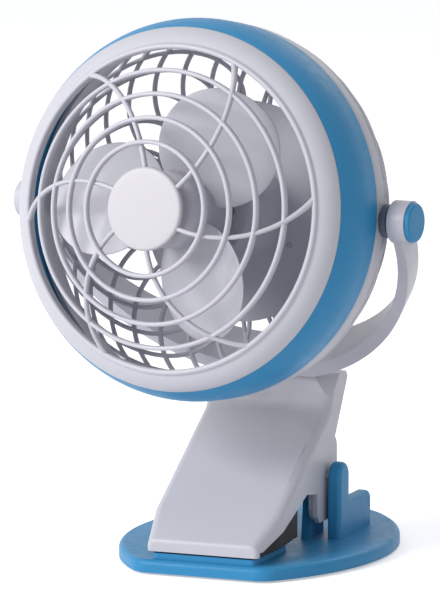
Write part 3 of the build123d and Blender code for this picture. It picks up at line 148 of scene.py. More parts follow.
HUB_RADIUS = 16.0
HUB_FRONT = 47.0
HUB_BACK = 18.0
HUB_WALL = 1.8
HUB_ROUND = 4.0
HUB_EDGE = 0.5
SLEEVE_RADIUS = 4.0
SLEEVE_BACK = HUB_BACK + 4
SHAFT_RADIUS = 1.55
BLADE_COUNT = 3
BLADE_FIRST_ANGLE = 55.0
BLADE_TIP_GAP = 8.8  # from the blades' tips out to the bezel's opening
BLADE_RADIAL = 25.0  # half lengths of the petal, out from the hub and across
BLADE_SIDE = 23.5
BLADE_PITCH = 22.0
BLADE_CAMBER = 2.0
BLADE_THICKNESS = 1.5
BLADE_ROOT_SHARE = 1.15  # thickness in the petal's middle, as a share
BLADE_THINNING = 0.45  # what that share loses towards the edge
BLADE_EDGE_POWER = 8  # the higher, the shorter the round edge
BLADE_MID_DEPTH = 31.0

# Rubber of the clip's jaws and of the foot
PAD_TOOTH = 3.2  # from one tooth to the next
PAD_TOOTH_DEPTH = 1.0
PAD_TOOTH_POWER = 0.6  # below 1, the teeth are broader than the grooves between them
LOWER_TOOTH_SHARE = 0.7  # of the upper pad's teeth
PAD_END = 2.0  # plain stretch at each end of a pad
PAD_TIP = 4.0  # plain stretch at the front of the upper pad
PAD_RISE = 2.6  # how far the upper pad's underside climbs to its back
PAD_NOSE = 2.4  # height of the upper pad's front
JAW_WALL = 2.2
JAW_LIP_HALF_WIDTH = 24.3
JAW_HALF_WIDTH = 28.6
JAW_LIP_Y = -68.0
JAW_LIP_THICKNESS = 2.4
JAW_FULL_WIDTH_Y = -48.0  # the jaw has its full width from here back
FOOT_RADIUS = 6.45
FOOT_ROUND = 0.8
FOOT_BEND = 0.3 * FOOT_ROUND  # from the corner in to the middle of its rounding
FOOT_GROOVES = (4.4, 2.6)  # radii of the two grooves under a foot
FOOT_GROOVE_HALF = 0.4  # half the groove's width at its mouth
FOOT_GROOVE_FLOOR = 0.25  # and on its floor
FOOT_GROOVE_DEPTH = 0.35
FOOT_DIMPLE = (0.9, 0.7)  # radii of the dimple in the middle, at its mouth and its floor
FOOT_DIMPLE_DEPTH = 0.6
FOOT_SPOTS = [(0, 0), (-18, -50), (18, -50), (-30, 52), (30, 52)]
FOOT_AXIS = 0.01  # radius that closes a foot's section at its axis

# Fineness of the meshes
RING_STEPS = 192  # round the head
HUB_STEPS = 96
FOOT_STEPS = 64
BOSS_STEPS = 48
FACE_STEPS = 32  # across the bezel's face
LIP_STEPS = 10
SPOKE_STEPS = 48
DOME_STEPS = 120
NET_STEPS = 36
BLADE_RINGS = 14
BLADE_STEPS = 72
LOWER_PAD_STEPS = 160
UPPER_PAD_STEPS = 200
NEAR_AXIS = 0.001  # share of a radius that closes a section at its axis
WELD = 0.03  # points nearer than this are joined
SHARP = 32  # degrees from which an edge is rounded

# ------------------------------------------------------------------- directions
pivot = Vector(joints["head_tilt"]["pos_m"])
head_right = -Vector(joints["head_tilt"]["axis"]).normalized()
head_front = Vector(joints["blade_spin"]["axis"]).normalized()
head_up = head_front.cross(head_right).normalized()


def axes(origin, x_axis, y_axis, z_axis):
    """Matrix that carries local coordinates to the row frame."""
    turn = Matrix((x_axis, y_axis, z_axis)).transposed().to_4x4()
    return Matrix.Translation(origin) @ turn


# local x to the head's right, y up, z the way the fan blows
HEAD = axes(pivot, head_right, head_up, head_front)

# ----------------------------------------------------------------------- camera
VIEW_AZIMUTH = math.radians(21.5)
VIEW_ELEVATION = math.radians(6.8)
VIEW_DISTANCE = 1.8
VIEW_TARGET = Vector((0, -0.037, 0.150))
FRAME_LONG_SIDE = 600  # pixels of the photograph's frame
FOCAL_PIXELS = 4320
TARGET_OFFSET = Vector((9, -89))  # pixels from the frame's middle to the target: right, down
SENSOR = 36.0


def add_camera():
    """Camera at the photograph's angle, aimed so that the target falls where it does there."""
    back = Vector((
        math.sin(VIEW_AZIMUTH) * math.cos(VIEW_ELEVATION),
        -math.cos(VIEW_AZIMUTH) * math.cos(VIEW_ELEVATION),
        math.sin(VIEW_ELEVATION),
    ))
    right = Vector((math.cos(VIEW_AZIMUTH), math.sin(VIEW_AZIMUTH), 0))
    up = back.cross(right)
    pixel = VIEW_DISTANCE / FOCAL_PIXELS
    aim = VIEW_TARGET - right * TARGET_OFFSET.x * pixel + up * TARGET_OFFSET.y * pixel
    data = bpy.data.cameras.new("view_camera")
    data.sensor_width = SENSOR
    data.lens = FOCAL_PIXELS / FRAME_LONG_SIDE * SENSOR
    data.clip_start, data.clip_end = 0.05, 20
    camera = bpy.data.objects.new("view_camera", data)
    scene.collection.objects.link(camera)
    camera.location = VIEW_TARGET + back * VIEW_DISTANCE
    camera.rotation_mode = "QUATERNION"
    camera.rotation_quaternion = (aim - camera.location).to_track_quat("-Z", "Y")
    scene.camera = camera


# ------------------------------------------------------------- light and backdrop
LAMP_TARGET = Vector((0, 0, 0.12))
LAMPS = {  # place, width of the soft box and watts
    "key_box": (Vector((-1.3, -1.72, 1.15)), 1.0, 46),
    "back_box": (Vector((0.3, 1.6, 1.3)), 0.9, 3),
}
WORLD_COLOUR = (0.93, 0.95, 1.0, 1)
WORLD_STRENGTH = 0.52
PURE_WHITE = (1, 1, 1, 1)
FLOOR_HALF = 12.0
FLOOR_COLOUR = (0.97, 0.97, 0.975, 1)
FLOOR_GLOW = 0.46  # what the eye sees beside the light that falls on the floor


def add_lamp(name, location, size, power):
    """Square soft box that faces the fan."""
    data = bpy.data.lights.new(name, "AREA")
    data.shape = "SQUARE"
    data.size = size
    data.energy = power
    lamp = bpy.data.objects.new(name, data)
    scene.collection.objects.link(lamp)
    lamp.location = location
    lamp.rotation_mode = "QUATERNION"
    lamp.rotation_quaternion = (LAMP_TARGET - location).to_track_quat("-Z", "Y")


def seen_rays(tree):
    """Socket that is 1 for the eye, for glossy surfaces and through clear ones."""
    path = tree.nodes.new("ShaderNodeLightPath")
    total = path.outputs["Is Camera Ray"]
    for ray in ("Is Glossy Ray", "Is Transmission Ray"):
        either = tree.nodes.new("ShaderNodeMath")
        either.operation = "MAXIMUM"
        tree.links.new(total, either.inputs[0])
        tree.links.new(path.outputs[ray], either.inputs[1])
        total = either.outputs[0]
    return total


def add_world():
    """Even pale light, white where the eye or a glossy surface sees it."""
    world = bpy.data.worlds.new("studio")
    scene.world = world
    world.use_nodes = True
    tree = world.node_tree
    tree.nodes.clear()
    new, link = tree.nodes.new, tree.links.new
    soft = new("ShaderNodeBackground")
    soft.inputs["Color"].default_value = WORLD_COLOUR
    soft.inputs["Strength"].default_value = WORLD_STRENGTH
    plain = new("ShaderNodeBackground")
    plain.inputs["Color"].default_value = PURE_WHITE
    plain.inputs["Strength"].default_value = 1.0
    mix = new("ShaderNodeMixShader")
    link(seen_rays(tree), mix.inputs[0])
    link(soft.outputs[0], mix.inputs[1])
    link(plain.outputs[0], mix.inputs[2])
    out = new("ShaderNodeOutputWorld")
    link(mix.outputs[0], out.inputs["Surface"])


def add_floor():
    """Pale floor, white to the eye but for the soft shadow on it."""
    mesh = bpy.data.meshes.new("floor")
    corners = [(x * FLOOR_HALF, y * FLOOR_HALF, 0)
               for x, y in ((-1, -1), (1, -1), (1, 1), (-1, 1))]
    mesh.from_pydata(corners, [], [(0, 1, 2, 3)])
    floor = bpy.data.objects.new("floor", mesh)
    scene.collection.objects.link(floor)
    material = bpy.data.materials.new("floor_paper")
    material.use_nodes = True
    tree = material.node_tree
    shader = tree.nodes["Principled BSDF"]
    shader.inputs["Base Color"].default_value = FLOOR_COLOUR
    shader.inputs["Roughness"].default_value = 0.9
    shader.inputs["Specular IOR Level"].default_value = 0.1
    glow = tree.nodes.new("ShaderNodeEmission")
    glow.inputs["Color"].default_value = PURE_WHITE
    glow.inputs["Strength"].default_value = FLOOR_GLOW
    lit = tree.nodes.new("ShaderNodeAddShader")
    tree.links.new(shader.outputs[0], lit.inputs[0])
    tree.links.new(glow.outputs[0], lit.inputs[1])
    mix = tree.nodes.new("ShaderNodeMixShader")
    tree.links.new(seen_rays(tree), mix.inputs[0])
    tree.links.new(shader.outputs[0], mix.inputs[1])
    tree.links.new(lit.outputs[0], mix.inputs[2])
    tree.links.new(mix.outputs[0], tree.nodes["Material Output"].inputs["Surface"])
    mesh.materials.append(material)


# --------------------------------------------------------------------- materials
NOISE_LOW, NOISE_HIGH = 0.3, 0.7  # between these lie most of a noise's values
FLOW, GLOSS, GRAIN, RIPPLE = 38, 210, 1900, 120  # scales of the noises on plastic
DUST, STIPPLE = 160, 1400  # on rubber
LINES = 900  # on metal
BLUE = (0.034, 0.238, 0.463)
WHITE = (0.515, 0.51, 0.56)
DISC_WHITE = (0.54, 0.525, 0.55)
BLACK = (0.012, 0.012, 0.014)
# painted shade: near-black navy for the washers, so the gap between the head's bosses and the yoke reads as shaded
GAP_SHADE_NAVY = (0.05, 0.07, 0.11)
DARK_GREY = (0.05, 0.05, 0.055)
BRIGHT_STEEL = (0.62, 0.62, 0.64)
SPRING_STEEL = (0.36, 0.36, 0.38)
ZINC = (0.5, 0.51, 0.53)
BRASS = (0.66, 0.47, 0.2)


def shader_of(name):
    """New material, its node tree and its main shader."""
    material = bpy.data.materials.new(name)
    material.use_nodes = True
    return material, material.node_tree, material.node_tree.nodes["Principled BSDF"]


def noise(tree, scale, detail, stretch=(1, 1, 1)):
    """Noise in the object's own metres."""
    place = tree.nodes.new("ShaderNodeTexCoord")
    mapping = tree.nodes.new("ShaderNodeMapping")
    mapping.inputs["Scale"].default_value = stretch
    texture = tree.nodes.new("ShaderNodeTexNoise")
    texture.inputs["Scale"].default_value = scale
    texture.inputs["Detail"].default_value = detail
    tree.links.new(place.outputs["Object"], mapping.inputs["Vector"])
    tree.links.new(mapping.outputs[0], texture.inputs["Vector"])
    return texture.outputs["Fac"]


def ramp(tree, value, low, high, start=NOISE_LOW, end=NOISE_HIGH):
    """Colour between two, by a value."""
    node = tree.nodes.new("ShaderNodeValToRGB")
    node.color_ramp.elements[0].position = start
    node.color_ramp.elements[1].position = end
    node.color_ramp.elements[0].color = (*low, 1)
    node.color_ramp.elements[1].color = (*high, 1)
    tree.links.new(value, node.inputs["Fac"])
    return node.outputs["Color"]


def spread(tree, value, low, high):
    """A noise's values carried to a range."""
    node = tree.nodes.new("ShaderNodeMapRange")
    node.inputs["From Min"].default_value = NOISE_LOW
    node.inputs["From Max"].default_value = NOISE_HIGH
    node.inputs["To Min"].default_value = low
    node.inputs["To Max"].default_value = high
    tree.links.new(value, node.inputs["Value"])
    return node.outputs["Result"]


def bump(tree, shader, heights):
    """Adds bumps, each a (height value, depth in metres), to the shader's normal."""
    last = None
    for height, depth in heights:
        node = tree.nodes.new("ShaderNodeBump")
        node.inputs["Distance"].default_value = depth
        node.inputs["Strength"].default_value = 1.0
        tree.links.new(height, node.inputs["Height"])
        if last:
            tree.links.new(last, node.inputs["Normal"])
        last = node.outputs["Normal"]
    tree.links.new(last, shader.inputs["Normal"])


def plastic(name, colour, roughness, swing=0.04, shine=0.5, grain=0.000006):
    """Moulded plastic: faint flow marks in its colour, gloss that varies, a very fine grain."""
    material, tree, shader = shader_of(name)
    flow = noise(tree, FLOW, 4)
    dark = [channel * (1 - swing) for channel in colour]
    light = [min(1, channel * (1 + swing)) for channel in colour]
    tree.links.new(ramp(tree, flow, dark, light), shader.inputs["Base Color"])
    gloss = noise(tree, GLOSS, 3)
    tree.links.new(spread(tree, gloss, roughness * 0.88, roughness * 1.14),
                   shader.inputs["Roughness"])
    bump(tree, shader, [(noise(tree, GRAIN, 2), grain), (noise(tree, RIPPLE, 2), grain * 3)])
    shader.inputs["Specular IOR Level"].default_value = shine
    return material


def rubber(name, colour):
    """Matt rubber with a moulded stipple and a little dust."""
    material, tree, shader = shader_of(name)
    dust = noise(tree, DUST, 5)
    light = [channel * 2.2 + 0.01 for channel in colour]
    tree.links.new(ramp(tree, dust, colour, light, 0.45, 0.85), shader.inputs["Base Color"])
    shader.inputs["Roughness"].default_value = 0.72
    shader.inputs["Specular IOR Level"].default_value = 0.35
    bump(tree, shader, [(noise(tree, STIPPLE, 2), 0.00003)])
    return material


def metal(name, colour, roughness, stretch=(1, 1, 1), depth=0.000004):
    """Metal with a drawn or turned finish."""
    material, tree, shader = shader_of(name)
    lines = noise(tree, LINES, 3, stretch)
    dark = [channel * 0.86 for channel in colour]
    tree.links.new(ramp(tree, lines, dark, colour), shader.inputs["Base Color"])
    tree.links.new(spread(tree, lines, roughness * 0.8, roughness * 1.25),
                   shader.inputs["Roughness"])
    shader.inputs["Metallic"].default_value = 1.0
    bump(tree, shader, [(lines, depth)])
    return material


materials = {
    "blue_plastic": plastic("blue_plastic", BLUE, 0.42, swing=0.015, shine=0.22),
    "white_plastic": plastic("white_plastic", WHITE, 0.38, swing=0.015, shine=0.35),
    "disc_plastic": plastic("disc_plastic", DISC_WHITE, 0.42, swing=0.015, shine=0.35),
    "dark_rubber": rubber("dark_rubber", BLACK),
    "spring_steel": metal("spring_steel", SPRING_STEEL, 0.3, (1, 1, 8)),
    "bright_steel": metal("bright_steel", BRIGHT_STEEL, 0.28, (6, 1, 1)),
    "zinc_steel": metal("zinc_steel", ZINC, 0.4),
    "magnet_grey": rubber("magnet_grey", DARK_GREY),
    # the tilt washers carry the navy of painted gap shade
    "washer_plastic": plastic("washer_plastic", GAP_SHADE_NAVY, 0.5),
    "brass": metal("brass", BRASS, 0.3, (1, 6, 1)),
    "black_plastic": plastic("black_plastic", BLACK, 0.38, swing=0.2),
}
slot_of = {part["node"]: part["material_slot"] for part in frame["record"]["subparts"]}
body_of = {node: body for body, names in frame["record"]["behaviour"]["bodies"].items()
           for node in names}

# the cap at the far end of the tilt axis is as pale as the yoke
slot_of["pivot_cap_left"] = "white_plastic"


# ------------------------------------------------------------------ CAD nodes
SOFT_EDGES = {  # width of the rounding that the eye sees, millimetres
    "yoke": 1.1,
    "jaw_body": 0.6,
    "jaw_back": 0.4,
    "base_plate": 0.6,
    "motor_cover": 0.3,
    "switch_case": 0.3,
    "switch_rocker": 0.4,
    "dc_inlet": 0.25,
    "swivel_washer": 0.15,
    "swivel_nut": 0.25,
}


def round_edges(piece, width, angle=SHARP):
    """Adds a bevel, its width in millimetres, to the edges that are sharper than an angle."""
    edge = piece.modifiers.new("edge", "BEVEL")
    edge.width = width * MM
    edge.segments = 3
    edge.limit_method = "ANGLE"
    edge.angle_limit = math.radians(angle)
    edge.harden_normals = True


def soften(piece, width):
    """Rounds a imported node's sharp edges for the eye, without touching its mesh."""
    weld = piece.modifiers.new("weld", "WELD")
    weld.merge_threshold = 1e-6
    flat = piece.modifiers.new("flat", "DECIMATE")
    flat.decimate_type = "DISSOLVE"
    flat.angle_limit = math.radians(0.5)
    round_edges(piece, width)


for name, piece in nodes.items():
    material = materials[slot_of[name]]
    if not piece.material_slots:
        piece.data.materials.append(material)
    for slot in piece.material_slots:
        slot.material = material
    if name in SOFT_EDGES:
        soften(piece, SOFT_EDGES[name])


# -------------------------------------------------------------------- mesh makers
def finished(name, shape, place, node, material="", bevel=0.0, angle=SHARP, weld=0.0):
    """Makes a bmesh in millimetres into the piece that stands for a node."""
    if weld:
        bmesh.ops.remove_doubles(shape, verts=shape.verts, dist=weld)
    bmesh.ops.recalc_face_normals(shape, faces=shape.faces)
    mesh = bpy.data.meshes.new(name)
    shape.to_mesh(mesh)
    shape.free()
    mesh.transform(Matrix.Scale(MM, 4))
    mesh.transform(place)
    piece = bpy.data.objects.new(name, mesh)
    scene.collection.objects.link(piece)
    mesh.materials.append(materials[material or slot_of[node]])
    mesh.shade_smooth()
    if bevel:
        round_edges(piece, bevel, angle)
    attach(piece, body_of[node])
    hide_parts(node)


def arc(start, middle, end, steps):
    """Points of the arc through three points, both ends among them."""
    start, middle, end = (Vector(spot).to_3d() for spot in (start, middle, end))
    first, second = middle - start, end - start
    normal = first.cross(second)
    reach = (second.length_squared * normal.cross(first)
             + first.length_squared * second.cross(normal))
    centre = start + reach / (2 * normal.length_squared)
    axis = normal.normalized()
    out = start - centre
    side = axis.cross(out)
    last = end - centre
    turn = math.atan2(last.dot(side), last.dot(out)) % (2 * math.pi)
    return [centre + out * math.cos(turn * i / steps) + side * math.sin(turn * i / steps)
            for i in range(steps + 1)]


def flat_arc(start, middle, end, steps):
    """The same arc as pairs of numbers."""
    return [(point.x, point.y) for point in arc(start, middle, end, steps)]


def half_circle(centre, radius, steps, way=1):
    """Upper half of a circle from its right end, or with way -1 the lower from its left end."""
    x, y = centre
    return [(x + way * radius * math.cos(math.pi * i / steps),
             y + way * radius * math.sin(math.pi * i / steps)) for i in range(steps + 1)]


def stadium(centre, width, height, steps=8):
    """Closed outline of a bar's section: long along the second coordinate, with round ends."""
    x, y = centre
    straight = (height - width) / 2
    return (half_circle((x, y + straight), width / 2, steps)
            + half_circle((x, y - straight), width / 2, steps, -1))


def add_skin(shape, rows, ends=False):
    """Adds faces between each closed row of points and the next, and over the two ends."""
    for row, following in zip(rows, rows[1:]):
        for i in range(len(row)):
            j = (i + 1) % len(row)
            shape.faces.new((row[i], row[j], following[j], following[i]))
    if ends:
        shape.faces.new(rows[0])
        shape.faces.new(list(reversed(rows[-1])))


def add_turned(shape, section, steps=RING_STEPS, place=Matrix()):
    """Adds a ring turned round the place's z from a closed section of (radius, depth)."""
    rings = []
    for step in range(steps):
        angle = 2 * math.pi * step / steps
        spots = [Vector((r * math.cos(angle), r * math.sin(angle), d)) for r, d in section]
        rings.append([shape.verts.new(place @ spot) for spot in spots])
    add_skin(shape, rings + rings[:1])


def add_swept(shape, path, sections, ups):
    """Adds a bar along a path, with a section of (across, up) and an up for each point."""
    rings = []
    for i, point in enumerate(path):
        ahead = (path[min(i + 1, len(path) - 1)] - path[max(i - 1, 0)]).normalized()
        across = ahead.cross(ups[i]).normalized()
        rise = across.cross(ahead)
        rings.append([shape.verts.new(point + across * x + rise * y) for x, y in sections[i]])
    add_skin(shape, rings, ends=True)


def polar(radius, angle, depth=0.0):
    """Point at an angle in degrees, counter-clockwise from the head's right."""
    return Vector((radius * math.cos(math.radians(angle)),
                   radius * math.sin(math.radians(angle)), depth))


# -------------------------------------------------------------------- front cage
def cage_depth(radius):
    """Depth of the cage's dome, which falls away towards the bezel."""
    fall = (radius - CAGE_FLAT_RADIUS) / (BEZEL_INNER - CAGE_FLAT_RADIUS)
    return DISC_DEPTH - (DISC_DEPTH - BEZEL_DEPTH) * fall**2


def bezel_section():
    """Rounded bezel with a raised lip inside, and the skirt that plugs into the ring."""
    crest = ((SEAM_RADIUS + BEZEL_INNER) / 2 + BEZEL_CREST[0],
             (SEAM_DEPTH + BEZEL_DEPTH) / 2 + BEZEL_CREST[1])
    face = flat_arc((SEAM_RADIUS, SEAM_DEPTH + SEAM_LINE), crest, (BEZEL_INNER, BEZEL_DEPTH),
                    FACE_STEPS)
    lip_centre = (BEZEL_INNER + LIP_ROUND, BEZEL_DEPTH - LIP_SINK)
    lip_foot = BEZEL_INNER + 2 * LIP_ROUND
    outside = [spot for spot in face if spot[0] > lip_foot + LIP_GROOVE]
    groove = (lip_foot + LIP_GROOVE_OUT, lip_centre[1] - LIP_GROOVE_DEPTH)
    edge_back = BEZEL_DEPTH - BEZEL_WALL - BEZEL_EDGE
    inner = flat_arc(
        (BEZEL_INNER + LIP_ROUND + BEZEL_HEEL[0], edge_back - BEZEL_HEEL[1]),
        (crest[0] - BEZEL_WALL * BEZEL_INSET[0], crest[1] - BEZEL_WALL * BEZEL_INSET[1]),
        (SKIRT_OUTER - SKIRT_WALL, SEAM_DEPTH - SKIRT_ROOT), 12)
    return outside + [groove] + half_circle(lip_centre, LIP_ROUND, LIP_STEPS) + [
        (BEZEL_INNER, edge_back),
        *inner,
        (SKIRT_OUTER - SKIRT_WALL, SEAM_DEPTH - SKIRT_LENGTH),
        (SKIRT_OUTER, SEAM_DEPTH - SKIRT_LENGTH),
        (SKIRT_OUTER, SEAM_DEPTH - SKIRT_STEP),
    ]


def add_spoke(shape, turn):
    """Adds one swept spoke, from under the disc over the dome to the bezel's lip."""
    path = arc(
        polar(DISC_RADIUS - SPOKE_ROOT_IN, SPOKE_HUB_ANGLE + turn, DISC_DEPTH - SPOKE_ROOT_DROP),
        polar(RING_RADII[1], SPOKE_MID_ANGLE + turn, cage_depth(RING_RADII[1])),
        polar(BEZEL_INNER + SPOKE_END_IN, SPOKE_RIM_ANGLE + turn, BEZEL_DEPTH - SPOKE_END_DROP),
        SPOKE_STEPS,
    )
    sections = []
    for i in range(SPOKE_STEPS + 1):
        flare = 1 + SPOKE_FLARE * (i / SPOKE_STEPS)**SPOKE_FLARE_POWER
        height = BAR_HEIGHT * SPOKE_HEIGHT_SHARE * flare
        sections.append(stadium((0, 0), BAR_WIDTH * flare, height))
    add_swept(shape, path, sections, [Vector((0, 0, 1))] * len(path))


cage = bmesh.new()
add_turned(cage, bezel_section())
for radius in RING_RADII:
    add_turned(cage, stadium((radius, cage_depth(radius)), BAR_WIDTH, BAR_HEIGHT))
for spoke in range(SPOKE_COUNT):
    add_spoke(cage, spoke * 360 / SPOKE_COUNT)
finished("front_cage", cage, HEAD, "front_grille")


def disc_section():
    """Half section of the cap in the middle: a faint crown, a round rim and a hollow back."""
    back = DISC_DEPTH - DISC_EDGE
    hollow = DISC_DEPTH - DISC_EDGE / 2
    rim = flat_arc((DISC_RADIUS - DISC_ROUND[0], DISC_DEPTH - DISC_CROWN),
                   (DISC_RADIUS - DISC_ROUND_MID[0], DISC_DEPTH - DISC_ROUND_MID[1]),
                   (DISC_RADIUS, DISC_DEPTH - DISC_ROUND[1]), 8)
    crown = [(DISC_RADIUS * share, DISC_DEPTH - DISC_CROWN * share**2)
             for share in (NEAR_AXIS, *DISC_CROWN_SHARES)]
    return crown + rim + [
        (DISC_RADIUS, back + DISC_CHAMFER),
        (DISC_RADIUS - DISC_CHAMFER, back),
        (DISC_RADIUS - DISC_WALL + DISC_DRAFT, back),
        (DISC_RADIUS - DISC_WALL, hollow),
        (DISC_RADIUS * NEAR_AXIS, hollow),
    ]


disc = bmesh.new()
add_turned(disc, disc_section())
finished("cage_disc", disc, HEAD, "front_grille", material="disc_plastic", weld=WELD)


# -------------------------------------------------------------------- rear shell
DOME = arc((SHELL_FLAT_RADIUS, SHELL_BACK), DOME_MID, (SHELL_RADIUS, SHELL_SIDE_END),
           DOME_STEPS)


def dome_spot(share, inset):
    """Place on the dome's half section at a share of its arc, and the way out of it there."""
    place = share * (len(DOME) - 1)
    low = min(int(place), len(DOME) - 2)
    spot = DOME[low].lerp(DOME[low + 1], place - low)
    along = (DOME[low + 1] - DOME[low]).normalized()
    outward = Vector((along.y, -along.x))
    return Vector((spot.x, spot.y)) - outward * inset, outward


def dome_run(start, end, inset, steps):
    """Points along the dome's section between two shares of its arc."""
    shares = [start + (end - start) * i / steps for i in range(steps + 1)]
    return [tuple(dome_spot(share, inset)[0]) for share in shares]


def rim_section():
    """Band of the shell from the net out to the spigot that enters the housing ring."""
    return dome_run(NET_END, 1.0, 0, 8) + [
        (SHELL_RADIUS, SHELL_DEPTH - SHELL_EDGE),
        (SHELL_RADIUS - SHELL_EDGE, SHELL_DEPTH),
        (SPIGOT_OUTER, SHELL_DEPTH),
        (SPIGOT_OUTER, SHELL_DEPTH + SKIRT_LENGTH),
        (SPIGOT_OUTER - SKIRT_WALL, SHELL_DEPTH + SKIRT_LENGTH),
        (SPIGOT_OUTER - SKIRT_WALL, SHELL_DEPTH - SPIGOT_ROOT),
        (SHELL_RADIUS - HEAD_WALL, SHELL_DEPTH - SPIGOT_SLOPE_END),
    ] + dome_run(1.0, NET_END, HEAD_WALL, 8)


def back_section():
    """Flat back of the shell with the tub that holds the motor."""
    return dome_run(NET_START, 0.0, HEAD_WALL, 2) + [
        (TUB_RADIUS + TUB_FOOT, SHELL_BACK + HEAD_WALL),
        (TUB_RADIUS, SHELL_BACK + HEAD_WALL + TUB_FOOT),
        (TUB_RADIUS, MOTOR_FRONT + TUB_WALL - TUB_EDGE),
        (TUB_RADIUS - TUB_EDGE, MOTOR_FRONT + TUB_WALL),
        (BUSH_RADIUS, MOTOR_FRONT + TUB_WALL),
        (BUSH_RADIUS, MOTOR_FRONT),
        (TUB_RADIUS - TUB_WALL, MOTOR_FRONT),
        (TUB_RADIUS - TUB_WALL, SHELL_BACK),
    ] + dome_run(0.0, NET_START, 0, 2)


def add_net_bar(shape, crossing, way):
    """Adds one bar of the net, which winds over the dome from the flat back to the rim."""
    span = NET_END - NET_START + 2 * NET_OVERLAP
    path, ups = [], []
    for i in range(NET_STEPS + 1):
        share = NET_START - NET_OVERLAP + span * i / NET_STEPS
        spot, outward = dome_spot(share, HEAD_WALL / 2)
        angle = crossing + way * NET_TURN * (share**2 - NET_CROSSING_SHARE**2)
        path.append(polar(spot.x, angle, spot.y))
        ups.append(polar(outward.x, angle, outward.y))
    add_swept(shape, path, [stadium((0, 0), NET_RIB, NET_THICKNESS, 4)] * len(path), ups)


def boss_section():
    """Half section of a boss that a tilt screw bites into."""
    return [
        (TILT_BOSS_RADIUS, TILT_BOSS_INNER),
        (TILT_BOSS_RADIUS, TILT_BOSS_OUT - TILT_BOSS_EDGE),
        (TILT_BOSS_RADIUS - TILT_BOSS_EDGE, TILT_BOSS_OUT),
        (SHAFT_RADIUS, TILT_BOSS_OUT),
        (SHAFT_RADIUS, TILT_BOSS_INNER),
    ]


# turns that carry z to the two ends of the tilt axis
TILT_ENDS = [Matrix.Rotation(side * math.pi / 2, 4, "Y") for side in (-1, 1)]

shell = bmesh.new()
add_turned(shell, rim_section())
add_turned(shell, back_section())
for bar in range(NET_COUNT):
    for way in (-1, 1):
        add_net_bar(shell, NET_CROSSING + bar * 360 / NET_COUNT, way)
for end in TILT_ENDS:
    add_turned(shell, boss_section(), BOSS_STEPS, end)
finished("rear_shell", shell, HEAD, "rear_grille", bevel=0.3, angle=50)


# ------------------------------------------------------------ ends of the tilt axis
def washer_section():
    """Half section of a soft washer whose skirt hides the boss of the shell."""
    seat = TILT_BOSS_OUT + WASHER_GAP
    face = YOKE_INNER - WASHER_GAP
    flange = seat + WASHER_SKIRT_TOP
    return [
        (TILT_WASHER_HOLE, seat),
        (TILT_WASHER_HOLE, face),
        (TILT_WASHER_RADIUS - WASHER_EDGE[0], face),
        (TILT_WASHER_RADIUS, YOKE_INNER - WASHER_EDGE[1]),
        (TILT_WASHER_RADIUS, flange),
        (WASHER_SKIRT_RADIUS - WASHER_SKIRT_EDGE, flange),
        (WASHER_SKIRT_RADIUS, flange - WASHER_SKIRT_EDGE),
        (WASHER_SKIRT_RADIUS, WASHER_SKIRT_END),
        (TILT_BOSS_RADIUS + WASHER_GAP, WASHER_SKIRT_END),
        (TILT_BOSS_RADIUS + WASHER_GAP, seat),
    ]


washers = bmesh.new()
for end in TILT_ENDS:
    add_turned(washers, washer_section(), BOSS_STEPS, end)
finished("tilt_washer_pair", washers, HEAD, "tilt_washers", bevel=0.15, angle=50)


# ---------------------------------------------------------------------- impeller
def hub_section():
    """Hub with a round nose, hollow behind, with the sleeve that grips the shaft."""
    nose = HUB_FRONT - HUB_ROUND
    bend = HUB_ROUND * (1 - math.sin(math.pi / 4))
    outer = flat_arc((HUB_RADIUS - HUB_ROUND, HUB_FRONT), (HUB_RADIUS - bend, HUB_FRONT - bend),
                     (HUB_RADIUS, nose), 10)
    return [(SHAFT_RADIUS, HUB_FRONT)] + outer + [
        (HUB_RADIUS, HUB_BACK + HUB_EDGE),
        (HUB_RADIUS - HUB_EDGE, HUB_BACK),
        (HUB_RADIUS - HUB_WALL, HUB_BACK),
        (HUB_RADIUS - HUB_WALL, nose),
        (HUB_RADIUS - HUB_ROUND, HUB_FRONT - HUB_WALL),
        (SLEEVE_RADIUS, HUB_FRONT - HUB_WALL),
        (SLEEVE_RADIUS, SLEEVE_BACK),
        (SHAFT_RADIUS, SLEEVE_BACK),
    ]


def blade_depth(side):
    """Depth of a blade's middle surface, at a distance across the petal."""
    slope = math.tan(math.radians(BLADE_PITCH))
    rise = BLADE_CAMBER * (1 - (side / (BLADE_RADIAL + BLADE_SIDE))**2)
    return BLADE_MID_DEPTH + BLADE_THICKNESS / 2 + side * slope + rise


def half_thickness(share):
    """Half a blade's thickness at a share of the way from its middle to its round edge."""
    edge = math.sqrt(max(0.0, 1 - share**BLADE_EDGE_POWER))
    return BLADE_THICKNESS / 2 * edge * (BLADE_ROOT_SHARE - BLADE_THINNING * share)


def blade_spot(angle, share, around, face):
    """Place on a petal's front (face 1) or back (-1), kept out of the hub's hollow."""
    root = HUB_RADIUS - HUB_WALL / 2
    middle = BEZEL_INNER - BLADE_TIP_GAP - BLADE_RADIAL
    out = middle + BLADE_RADIAL * share * math.cos(around)
    side = BLADE_SIDE * share * math.sin(around)
    reach = math.hypot(out, side)
    if reach < root:
        out, side = out * root / reach, side * root / reach
    depth = blade_depth(side) + face * half_thickness(share)
    return polar(math.hypot(out, side), angle + math.degrees(math.atan2(side, out)), depth)


def add_blade(shape, angle):
    """Adds a petal: an oval, cambered and pitched sheet that thins towards its round edge."""
    shares = [math.sin(math.pi / 2 * ring / BLADE_RINGS) for ring in range(1, BLADE_RINGS + 1)]
    turns = [2 * math.pi * step / BLADE_STEPS for step in range(BLADE_STEPS)]
    rim = [shape.verts.new(blade_spot(angle, shares[-1], around, 1)) for around in turns]
    for face in (1, -1):
        rows = [[shape.verts.new(blade_spot(angle, share, around, face)) for around in turns]
                for share in shares[:-1]]
        add_skin(shape, rows + [rim])
        shape.faces.new(rows[0])


